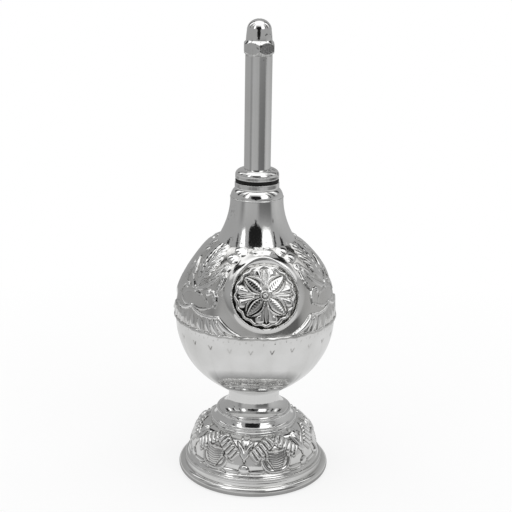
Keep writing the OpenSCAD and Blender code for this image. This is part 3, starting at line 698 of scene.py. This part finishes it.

# The lip at the seam is uneven, and the plate has gone dark in the relief's gaps and in the seats. The seats
# also carry a painted dark reflection that is strongest at each frame's lower left.
lip = (out > LIP - 0.4) & (rise < LIP_HEIGHT)
spots[:, 2] += np.where(lip, 0.16 * np.sin(19 * turn + 1) + 0.12 * np.sin(47 * turn), 0)
low = 0.9 * np.clip(1 - height / 0.4, 0, 1) + 1.7 * gap * (height > 0.02)
# Painted dark reflection: the seat's groove darkens towards the frame's lower left, on top of a little
# tarnish.
moat = (0.2 + 1.9 * painted_reflection_lower_left(p, q)) * groove**1.2
hollow = np.where(near, np.where(rho < crest, moat, low * slope**2), low)
move_to(bm, spots, np.where(outer, hollow, np.where(lip & (rise < 0.3), 1.6, 0.3)))
show(bm, "bulb_upper_chased", CHASED, "chased_silver", "vessel", "bulb_upper", crease=60)

# Medallions
# Three round plates, struck with a rosette of four petals and silver plated. Each one is soldered
# into a frame on the bulb's upper half.
MEDALLION = 13.75
PLATE_TOP = -2.92
PLATE_SWELL = 1.4
PETAL_ROOT = 1.6
PETAL_LENGTH = 10.4
PETAL_HALF_WIDTH = 4.3
LILY_ROOT = 1.8
LILY_LENGTH = 10.0


def petal(along, across):
    """A pointed petal with a raised rim round a hatched middle."""
    t = np.clip((along - PETAL_ROOT) / PETAL_LENGTH, 0, 1)
    share = across / (PETAL_HALF_WIDTH * np.sin(np.pi * t**0.85) ** 0.62 + 0.01)
    hatch = np.cos(2 * np.pi * (along - 0.7 * across) / 1.2)
    middle = np.clip(1 - (share / 0.56) ** 4, 0, 1)
    return np.where(share < 1, 1.1 * ridge((share - 0.8) / 0.2) + (0.8 + 0.025 * hatch) * middle, 0)


def lily(along, across):
    """A flower between two petals: two folds that spread, a bud between them and a curl on each."""
    t = np.clip((along - LILY_ROOT) / LILY_LENGTH, 0, 1)
    share = across / (1.0 + 4.4 * t**1.5)
    ends = 9.4 + 2.6 * np.clip(share / 0.5, 0, 1)
    fold = ridge((share - 0.6) / 0.4) * np.clip((t - 0.02) / 0.1, 0, 1) * np.clip((ends - along) / 0.8, 0, 1)
    bud = leaf(across, along, bent((0, 2.6), (0, 7), (0, 12.2)), 2.6, 0.85, vein=0.3)
    spiral = np.hypot(across - 2.9, along - 10.3) / 2.2
    curl = 1.15 * ridge(spiral) - 0.4 * np.exp(-((spiral / 0.35) ** 2))
    return np.max([np.where(share < 1, fold, 0), bud, curl], axis=0)


def rosette_relief(p, q):
    """Height of the rosette above its plate."""
    rho = np.hypot(p, q)
    scallop = 12.9 + 0.35 * np.cos(16 * np.arctan2(p, q))
    dimple = 1 - 0.45 * np.exp(-((rho / 0.5) ** 2))
    forms = [
        0.45 * ridge((rho - scallop) / 0.8),
        1.05 * ridge((rho - 2.0) / 0.6),
        np.sqrt(ridge(rho / 1.5)) * dimple,
    ]
    for k in range(4):
        for form, turn in ((petal, 45 + 90 * k), (lily, 90 * k)):
            a = math.radians(turn)
            along = p * math.sin(a) + q * math.cos(a)
            across = np.abs(p * math.cos(a) - q * math.sin(a))
            forms.append(form(along, across))
    return np.max(forms, axis=0)


for k, node in enumerate(("medallion_front", "medallion_right", "medallion_left")):
    medallion_profile = [(r, PLATE_TOP) for r in np.linspace(0, MEDALLION, 56)]
    medallion_profile += [(MEDALLION, SEAT_LEVEL), (0, SEAT_LEVEL)]
    bm = lathe(medallion_profile, 288)
    spots = places(bm)
    p, q = spots[:, 0], spots[:, 1]
    height = rosette_relief(p, q)
    gap = crevice(rosette_relief, p, q, 0.35)
    top = spots[:, 2] > PLATE_TOP - 0.01
    swell = PLATE_SWELL * (1 - (np.hypot(p, q) / MEDALLION) ** 2)
    # Painted dark reflection: the plate, and its hollows most of all, turn darker towards its lower left.
    dark = painted_reflection_lower_left(p, q)
    low = 1.15 * np.clip(1 - height / 0.3, 0, 1) + 1.1 * gap
    hollow = (0.75 + 0.85 * dark**2) * low + 0.7 * dark**8
    spots[:, 2] += np.where(top, height + swell, 0)
    move_to(bm, spots, np.where(top, hollow, 0.3))
    bmesh.ops.transform(bm, matrix=medallion_place(k), verts=bm.verts)
    show(bm, node + "_rosette", CHASED, "chased_silver", "vessel", node, crease=60)

# Neck ferrule
# A plain spun cone of silver-plated brass that sweeps from the bulb's mouth up to the bush. It is
# soldered over the collar.
FERRULE_TOP = 12.05
FERRULE_FLARE = 5.85
FERRULE_HEIGHT = 19.4
FERRULE_WALL = 1.0


def ferrule(inset, steps):
    """Points up the ferrule's side, inside it by an inset."""
    rows = np.linspace(0, 1, steps + 1)
    return [(FERRULE_TOP - inset + FERRULE_FLARE * (1 - t) ** 2, LAND + FERRULE_HEIGHT * t) for t in rows]


bm = lathe(ferrule(0, 48) + ferrule(FERRULE_WALL, 16)[::-1], 240)
show(bm, "neck_ferrule_cone", PLAIN, "plain_silver", "vessel", "neck_ferrule", crease=50)

# Neck bush
# A turned brass bush, silver plated, with a fine rim, a sloping shoulder and a knurled band. It is
# soldered into the ferrule and holds the inner thread for the plug.
SPIGOT = 11.02
SPIGOT_LOW = 123.0
BUSH_LOW = 133.0
BUSH_TOP = 140.1
BUSH_RIM = 11.9
BUSH_BAND = 10.1
BAND_LOW = 137.9
BAND_TOP = 139.85
BUSH_BORE = 7.1
KNURLS = 96
KNURL_STEPS = 4 * KNURLS


def knurl(bm, radius, low, high, depth):
    """Presses fine upright grooves into the edge of a spun piece, between two heights."""
    spots = places(bm)
    out = np.hypot(spots[:, 0], spots[:, 1])
    edge = (np.abs(out - radius) < 0.02) & (spots[:, 2] > low) & (spots[:, 2] < high)
    turn = np.arctan2(spots[:, 1], spots[:, 0])
    cut = np.where(edge, depth * (0.5 + 0.5 * np.cos(turn * KNURLS)), 0)
    spots[:, :2] *= (1 - cut / out)[:, None]
    move_to(bm, spots)


bush_profile = [(BUSH_BORE, SPIGOT_LOW), (SPIGOT, SPIGOT_LOW), (SPIGOT, BUSH_LOW)]
bush_profile += arc((BUSH_RIM, BUSH_LOW + 0.3), 0.3, -90, 90, 8)
bush_profile += bent((11.95, BUSH_LOW + 0.7), (11.6, 135.9), (BUSH_BAND - 0.1, 137.3), 16).tolist()
bush_profile += [(9.75, 137.35), (9.7, 137.5), (9.75, 137.7), (9.95, 137.75)]
bush_profile += rings(BUSH_BAND, BAND_LOW, BAND_TOP, 6)
bush_profile += [(BUSH_BAND - 0.2, BUSH_TOP), (BUSH_BORE + 0.5, BUSH_TOP), (BUSH_BORE, BUSH_TOP - 0.5)]
bm = lathe(bush_profile, KNURL_STEPS)
knurl(bm, BUSH_BAND, BAND_LOW - 0.1, BAND_TOP + 0.05, 0.16)
show(bm, "neck_bush_turned", PLAIN, "plain_silver", "vessel", "neck_bush", crease=40)

# Seal ring
# A black rubber ring of round cord, squeezed between the bush and the plug. It lifts away with the
# plug.
SEAL_LOW = 140.1
SEAL_HIGH = 141.85
SEAL_CENTRE = 8.9
SEAL_CORD = 1.0
RUBBER_BLACK = (0.004, 0.004, 0.004, 1)
RUBBER_DUSTY = (0.014, 0.014, 0.013, 1)


def black_rubber():
    """Smooth black rubber with a little dust."""
    material, start, place = new_finish("black_rubber")
    dust = place.noise(900)
    colour = start.mix(dust, RUBBER_BLACK, RUBBER_DUSTY)
    inputs = {"Base Color": colour, "Roughness": dust * 0.25 + 0.35, "Specular IOR Level": 0.15}
    finish_output(start, start.node("ShaderNodeBsdfPrincipled", None, inputs))
    return material


RUBBER = black_rubber()
seal_middle = (SEAL_CENTRE, (SEAL_LOW + SEAL_HIGH) / 2)
seal_profile = [(r, min(max(z, SEAL_LOW), SEAL_HIGH)) for r, z in circle(seal_middle, SEAL_CORD)]
bm = lathe(seal_profile, 144)
show(bm, "seal_ring_cord", RUBBER, "seal_rubber", "seal", "seal_ring")

# Screw plug
# A turned brass plug, silver plated, with a knurled flange and a screw thread. The tube is brazed
# into its top.
PLUG_LOW = 132.38
PLUG_CORE = 6.15
PLUG_TIP = 7.0
PLUG_PITCH = 1.5
PLUG_BORE = 4.7
PLUG_NECK = 7.87
PLUG_NECK_LOW = 140.98
FLANGE = 9.9
FLANGE_LOW = 142.0
FLANGE_TOP = 143.5
SOCKET = 6.03
SOCKET_LOW = 142.65
THREAD_STEPS = 48


def thread(core, tip, pitch, low, turns):
    """A right-hand screw ridge round a core."""
    screw = bmesh.new()
    root = core - 0.1
    corners = [(root, -0.42 * pitch), (tip, -0.08 * pitch), (tip, 0.08 * pitch), (root, 0.42 * pitch)]
    rim = [screw.verts.new((r * MM, 0, (low + z) * MM)) for r, z in corners]
    face = screw.faces.new(rim)
    bmesh.ops.spin(
        screw,
        geom=rim + list(face.edges) + [face],
        axis=(0, 0, 1),
        cent=(0, 0, 0),
        dvec=(0, 0, pitch * MM / THREAD_STEPS),
        angle=math.tau * turns,
        steps=int(THREAD_STEPS * turns),
    )
    bmesh.ops.recalc_face_normals(screw, faces=screw.faces)
    return screw


def join(bm, other):
    """Adds another mesh to this one."""
    scrap = bpy.data.meshes.new("scrap")
    other.to_mesh(scrap)
    other.free()
    bm.from_mesh(scrap)
    bpy.data.meshes.remove(scrap)


plug_profile = [(PLUG_BORE, PLUG_LOW), (PLUG_CORE - 0.45, PLUG_LOW), (PLUG_CORE, PLUG_LOW + 0.45)]
plug_profile += [(PLUG_CORE, PLUG_NECK_LOW), (PLUG_NECK, PLUG_NECK_LOW), (PLUG_NECK, SEAL_HIGH)]
plug_profile += [(FLANGE - 0.2, SEAL_HIGH)] + rings(FLANGE, FLANGE_LOW, FLANGE_TOP, 5)
plug_profile += arc((SOCKET, FLANGE_TOP + 0.1), FLANGE - SOCKET, 3, 90, 14, 2.75)
plug_profile += [(SOCKET, SOCKET_LOW), (PLUG_BORE, SOCKET_LOW)]
bm = lathe(plug_profile, KNURL_STEPS)
knurl(bm, FLANGE, FLANGE_LOW - 0.05, FLANGE_TOP + 0.05, 0.2)
join(bm, thread(PLUG_CORE, PLUG_TIP, PLUG_PITCH, PLUG_LOW + 1.1, 4.5))
show(bm, "screw_plug_knurled", PLAIN, "plain_silver", "stem", "screw_plug", crease=40)

# Stem tube
# Drawn brass tube, silver plated, with fine lines from drawing along its length. Its lower end is
# brazed into the plug.
TUBE = 6.0
TUBE_BORE = 5.0
TUBE_TOP = 196.75

tube_profile = rings(TUBE, SOCKET_LOW, TUBE_TOP - 0.2, 24) + [(TUBE - 0.15, TUBE_TOP)]
tube_profile += [(TUBE_BORE, TUBE_TOP), (TUBE_BORE, SOCKET_LOW)]
bm = lathe(tube_profile, 144)
show(bm, "stem_tube_drawn", PLAIN, "plain_silver", "stem", "stem_tube")

# Nozzle nipple
# A turned brass nipple, silver plated, with its shank brazed into the tube's top. The nozzle screws
# on its thread, and the water runs through its bore.
NIPPLE_SHANK = 4.97
NIPPLE_CORE = 3.45
NIPPLE_TIP = 4.0
NIPPLE_PITCH = 1.0
NIPPLE_BORE = 2.2
NIPPLE_LOW = 188.75
NIPPLE_TOP = 203.55

nipple_profile = [(NIPPLE_BORE, NIPPLE_LOW), (NIPPLE_SHANK, NIPPLE_LOW), (NIPPLE_SHANK, TUBE_TOP)]
nipple_profile += [(NIPPLE_CORE, TUBE_TOP), (NIPPLE_CORE, NIPPLE_TOP - 0.35)]
nipple_profile += [(NIPPLE_CORE - 0.35, NIPPLE_TOP), (NIPPLE_BORE, NIPPLE_TOP)]
bm = lathe(nipple_profile, 96)
join(bm, thread(NIPPLE_CORE, NIPPLE_TIP, NIPPLE_PITCH, TUBE_TOP + 1.35, 4.8))
show(bm, "nozzle_nipple_threaded", PLAIN, "plain_silver", "stem", "nozzle_nipple")

# Nozzle washer
# A thin bright ring with a round edge, of silver-plated brass, between the tube and the nozzle. It
# comes off with the nozzle.
CAP_BORE = 4.1
CAP_LOW = 197.6
WASHER_EDGE = 0.42
WASHER_CENTRE = (5.68, (TUBE_TOP + CAP_LOW) / 2)

nozzle_washer_profile = arc(WASHER_CENTRE, WASHER_EDGE, -90, 90, 10)
nozzle_washer_profile = [(CAP_BORE, TUBE_TOP)] + nozzle_washer_profile + [(CAP_BORE, CAP_LOW)]
bm = lathe(nozzle_washer_profile, 120)
show(bm, "nozzle_washer_ring", PLAIN, "plain_silver", "nozzle_seat", "nozzle_washer")

# Nozzle cap
# A domed hexagon nut of silver-plated brass. Its inside is threaded, and a fine hole at the top of
# the dome lets the water out.
HEX_TOP = 203.0
HEX_FLATS = 13.0
HEX_BLANK = 7.6
HEX_TURN = 3.0
HEX_CHAMFER_LOW = 0.2
HEX_CHAMFER_TOP = -0.55
HEX_CHAMFER_STEEP = 0.95
CAP_FACE = 6.3
CAP_DOME = 5.8
DOME_BEND = 207.5
DOME_BEND_RADIUS = 5.42
DOME_RISE = 4.95
CAP_TOP = 212.3
CHAMBER = 3.5
CHAMBER_LOW = 203.75
CHAMBER_TOP = 209.0
SPRAY = 0.8

cap_profile = [(CAP_BORE, CAP_LOW), (CAP_FACE, CAP_LOW)] + rings(HEX_BLANK, CAP_LOW, HEX_TOP, 40)
cap_profile += [(5.95, HEX_TOP + 0.03), (CAP_DOME, HEX_TOP + 0.2)]
cap_profile += bent(
    (CAP_DOME, HEX_TOP + 0.6), (CAP_DOME - 0.1, 205.4), (DOME_BEND_RADIUS, DOME_BEND), 8
).tolist()
cap_profile += arc((0, DOME_BEND), DOME_BEND_RADIUS, 6, 80.5, 28, DOME_RISE)
cap_profile += [(SPRAY, CAP_TOP), (SPRAY, CHAMBER_TOP)]
cap_profile += [(CHAMBER, CHAMBER_TOP), (CHAMBER, CHAMBER_LOW), (CAP_BORE, CHAMBER_LOW)]
bm = lathe(cap_profile, 240)
hexagon(bm, HEX_FLATS, CAP_LOW, HEX_TOP, HEX_TURN, HEX_CHAMFER_LOW, HEX_CHAMFER_TOP, HEX_CHAMFER_STEEP)
show(bm, "nozzle_cap_domed", PLAIN, "plain_silver", "nozzle", "nozzle_cap", crease=28)

# Floor and light
# A plain white table in a grey room, with a low grey screen round it that only reflections see.
# There are also a dark card on a post over the camera, a small blotted card at the right, dark
# strips and soft boxes.
TABLE = 8.0
TABLE_WHITE = 0.86
FLOOR_GREY = 0.74
SHADE_GREY = 0.3
ROOM_GREY = 0.42
ROOM_FILL = 0.6
SCREEN = 0.30
SCREEN_HEIGHT = 0.22
SCREEN_STOPS = [
    (-180, 0.40),
    (-75, 0.42),
    (-60, 0.25),
    (-46, 0.50),
    (0, 0.46),
    (14, 0.18),
    (58, 0.15),
    (68, 0.50),
    (86, 0.60),
    (135, 0.50),
    (180, 0.40),
]
CARD_BLACK = 0.015
CARD_EDGE = [(0.28, 0.74), (0.28, 0.48), (0.265, 0.42), (0.22, 0.37)]
CARD_EDGE += [(0.14, 0.335), (0.06, 0.315), (0.025, 0.29)]
CARD_PLACE = (-0.04, -0.62)
POST_EDGE = [(0.075, 0.262), (0.075, 0.24), (0.06, 0.222), (0.03, 0.208), (0.012, 0.198), (0.02, 0.19)]
POST_EDGE += [(0.009, 0.184), (0.004, 0.178), (0.002, 0.172)]
POST_PLACE = (-0.012, -0.27)
BLOT_DARK = 0.02
BLOT_LIGHT = 0.26
BLOT_TURN = 66.4
BLOT_OUT = 0.285
BLOT_HEIGHT = 0.1695
BLOT_SIZE = (0.024, 0.017, 1)
AIM = Vector((0, 0, 0.1))
LAMP_SHARE = 0.65
STRIP_LENGTH = 0.6
STRIP_BLACK = 0.02
LIGHT_STRIPS = [(-120, 42, 0.16, 1.8), (112, 42, 0.16, 1.8)]
DARK_STRIPS = [(-134, 40, 0.14), (-98, 42, 0.12), (-66, 44, 0.06)]
DARK_STRIPS += [(66, 42, 0.06), (90, 42, 0.12), (130, 40, 0.14)]


def grey(tone):
    """A grey as a colour."""
    return (tone, tone, tone, 1)


def glowing(start, colour, strength=1.0):
    """A surface that gives light of its own."""
    return start.node("ShaderNodeEmission", None, {"Color": colour, "Strength": strength})


def ray(start, kind):
    """1 for rays of one kind, and 0 for others."""
    return start.node("ShaderNodeLightPath", out=kind)


def coordinate(place, name):
    """One of the three coordinates of a place."""
    return place.node("ShaderNodeSeparateXYZ", None, {0: place}, name)


def floor_white():
    """White table that keeps the object's shadow, and that reflections see darker near the foot, through a
    painted shadow.
    """
    material, start, place = new_finish("floor_white")
    seen = ray(start, "Is Camera Ray")
    mirrored = ray(start, "Is Glossy Ray") + ray(start, "Is Transmission Ray")
    away = start.node("ShaderNodeVectorMath", {"operation": "LENGTH"}, {0: place}, "Value")
    far = (away * 5 - 0.6).clamp()
    share = (seen * (far * 0.26 + 0.74) + mirrored * 0.85).clamp()
    board = start.node("ShaderNodeBsdfDiffuse", None, {"Color": grey(TABLE_WHITE)})
    # Painted shadow: reflections see the table darker in a narrow ring round the foot.
    lit = start.mix((away * 55 - 2.1).clamp(), grey(SHADE_GREY), grey(FLOOR_GREY))
    glow = glowing(start, start.mix(seen, lit, grey(1)))
    finish_output(start, start.node("ShaderNodeMixShader", None, {0: share, 1: board, 2: glow}))
    return material


def mottled_tone(name, low, high):
    """A card with dark and lighter blots."""
    material, start, place = new_finish(name)
    blot = (place.noise(180, 2.0) * 4 - 1.6).clamp()
    finish_output(start, glowing(start, start.mix(blot, grey(low), grey(high))))
    return material


def flat_tone(name, tone):
    """A card that glows evenly in one grey."""
    material, start, _ = new_finish(name)
    finish_output(start, glowing(start, grey(tone)))
    return material


def screen_tones():
    """Greys that run softly into each other round the screen, and into the room's grey at its top."""
    material, start, place = new_finish("screen_grey")
    turn = start.math("ARCTAN2", coordinate(place, "X"), 0 - coordinate(place, "Y"))
    stops = [((degrees + 180) / 360, grey(tone)) for degrees, tone in SCREEN_STOPS]
    tones = start.node("ShaderNodeValToRGB", {"stops": stops}, {0: turn * (1 / math.tau) + 0.5})
    fade = (coordinate(place, "Z") * (1 / SCREEN_HEIGHT)).clamp()
    finish_output(start, glowing(start, start.mix(fade * fade * fade, tones, grey(ROOM_GREY))))
    return material


def set_piece(bm, name, material, reflections_only=False):
    """A part of the studio, which isn't part of the object."""
    mesh = bpy.data.meshes.new(name)
    bm.to_mesh(mesh)
    bm.free()
    mesh.materials.append(material)
    made = bpy.data.objects.new(name, mesh)
    bpy.context.scene.collection.objects.link(made)
    if reflections_only:
        made.visible_camera = False
        made.visible_diffuse = False
        made.visible_shadow = False
        made.visible_transmission = False
    return made


bm = bmesh.new()
bmesh.ops.create_grid(bm, x_segments=1, y_segments=1, size=TABLE)
set_piece(bm, "floor", floor_white())

bm = bmesh.new()
ends = [bm.verts.new((0, SCREEN, height)) for height in (0, SCREEN_HEIGHT)]
upright = [bm.edges.new(ends)]
bmesh.ops.spin(
    bm, geom=ends + upright, axis=(0, 0, 1), cent=(0, 0, 0), angle=math.tau, steps=96, use_merge=True
)
set_piece(bm, "screen", screen_tones(), reflections_only=True)

bm = bmesh.new()
for half_edge, (middle, depth) in ((CARD_EDGE, CARD_PLACE), (POST_EDGE, POST_PLACE)):
    corners = half_edge + [(-x, z) for x, z in half_edge[::-1]]
    bm.faces.new([bm.verts.new((x + middle, depth, z)) for x, z in corners])
set_piece(bm, "dark_card", flat_tone("card_black", CARD_BLACK), reflections_only=True)

bm = bmesh.new()
bmesh.ops.create_grid(bm, x_segments=1, y_segments=1, size=0.5)
bmesh.ops.scale(bm, vec=BLOT_SIZE, verts=bm.verts)
bmesh.ops.rotate(bm, matrix=Matrix.Rotation(math.pi / 2, 3, "X"), verts=bm.verts)
bmesh.ops.translate(bm, vec=(0, -BLOT_OUT, BLOT_HEIGHT), verts=bm.verts)
blot_turn = Matrix.Rotation(math.radians(BLOT_TURN), 3, "Z")
bmesh.ops.rotate(bm, cent=(0, 0, 0), matrix=blot_turn, verts=bm.verts)
set_piece(bm, "blot_card", mottled_tone("blots", BLOT_DARK, BLOT_LIGHT), reflections_only=True)


def soft_glow(glow, width, length):
    """Light cloth that is brightest in its middle and fades out at its edges."""
    material, start, place = new_finish("light_cloth")
    across, along = coordinate(place, "X") * (2 / width), coordinate(place, "Y") * (2 / length)
    share = ((1 - across * across) * (1 - along * along) * 1.7).clamp()
    light = glowing(start, grey(1), glow)
    clear = start.node("ShaderNodeBsdfTransparent")
    finish_output(start, start.node("ShaderNodeMixShader", None, {0: share, 1: clear, 2: light}))
    return material


def aimed(turn, height, distance):
    """A place in the room that faces the bulb, at a turn and a height in degrees."""
    a, e = math.radians(turn), math.radians(height)
    away = Vector((math.sin(a) * math.cos(e), -math.cos(a) * math.cos(e), math.sin(e)))
    facing = away.to_track_quat("Z", "Y").to_matrix().to_4x4()
    return Matrix.Translation(AIM + away * distance) @ facing


def soft_box(name, turn, height, distance, width, length, glow):
    """A soft box, aimed at the bulb. Its glow is what a mirror sees of it, where 1 is white."""
    place = aimed(turn, height, distance)
    lamp = bpy.data.lights.new(name, "AREA")
    lamp.shape = "RECTANGLE"
    lamp.size = width
    lamp.size_y = length
    lamp.energy = glow * LAMP_SHARE * math.pi * width * length
    made = bpy.data.objects.new(name, lamp)
    made.matrix_world = place
    made.visible_glossy = False
    bpy.context.scene.collection.objects.link(made)
    bm = bmesh.new()
    bmesh.ops.create_grid(bm, x_segments=1, y_segments=1, size=0.5)
    bmesh.ops.scale(bm, vec=(width, length, 1), verts=bm.verts)
    cloth = set_piece(bm, name + "_cloth", soft_glow(glow, width, length), reflections_only=True)
    cloth.matrix_world = place


soft_box("box_left_front", -47, 36, 0.9, 0.22, 0.5, 1.9)
soft_box("box_right_front", 39, 37, 0.9, 0.54, 0.55, 1.7)
soft_box("box_top", -5, 84, 0.9, 2.0, 1.1, 1.4)
soft_box("box_left", -95, 40, 0.9, 0.2, 0.35, 1.1)
soft_box("box_right", 110, 32, 0.9, 0.2, 0.35, 1.0)
for number, (turn, height, width, glow) in enumerate(LIGHT_STRIPS):
    soft_box("strip_light_%d" % number, turn, height, 0.95, width, STRIP_LENGTH, glow)
bm = bmesh.new()
for turn, height, width in DARK_STRIPS:
    made = bmesh.ops.create_grid(bm, x_segments=1, y_segments=1, size=0.5)["verts"]
    bmesh.ops.scale(bm, vec=(width, STRIP_LENGTH, 1), verts=made)
    bmesh.ops.transform(bm, matrix=aimed(turn, height, 0.85), verts=made)
set_piece(bm, "dark_strips", flat_tone("strip_black", STRIP_BLACK), reflections_only=True)

world = bpy.data.worlds.new("room")
bpy.context.scene.world = world
world.use_nodes = True
world.node_tree.nodes.clear()
room = Value(world.node_tree)
unseen = room.mix(ray(room, "Is Glossy Ray"), grey(ROOM_FILL), grey(ROOM_GREY))
sky = {"Color": room.mix(ray(room, "Is Camera Ray"), unseen, grey(1)), "Strength": 1.0}
room.node("ShaderNodeOutputWorld", None, {"Surface": room.node("ShaderNodeBackground", None, sky)})
bpy.context.scene.view_settings.view_transform = "Standard"

# Camera
# It stands half a metre in front of the bulb and looks down on it, as in the photograph. It is
# rolled a little, because the object leans in the picture.
CAMERA_PLACE = (0, -0.5035, 0.2555)
CAMERA_DOWN = 16.65
CAMERA_ROLL = 0.846
camera = bpy.data.cameras.new("camera")
camera.lens = 80.25
camera.sensor_width = 36.0
camera.clip_start = 0.01
eye = bpy.data.objects.new("camera", camera)
eye.matrix_world = (
    Matrix.Translation(CAMERA_PLACE)
    @ Matrix.Rotation(math.radians(90 - CAMERA_DOWN), 4, "X")
    @ Matrix.Rotation(math.radians(CAMERA_ROLL), 4, "Z")
)
bpy.context.scene.collection.objects.link(eye)
bpy.context.scene.camera = eye
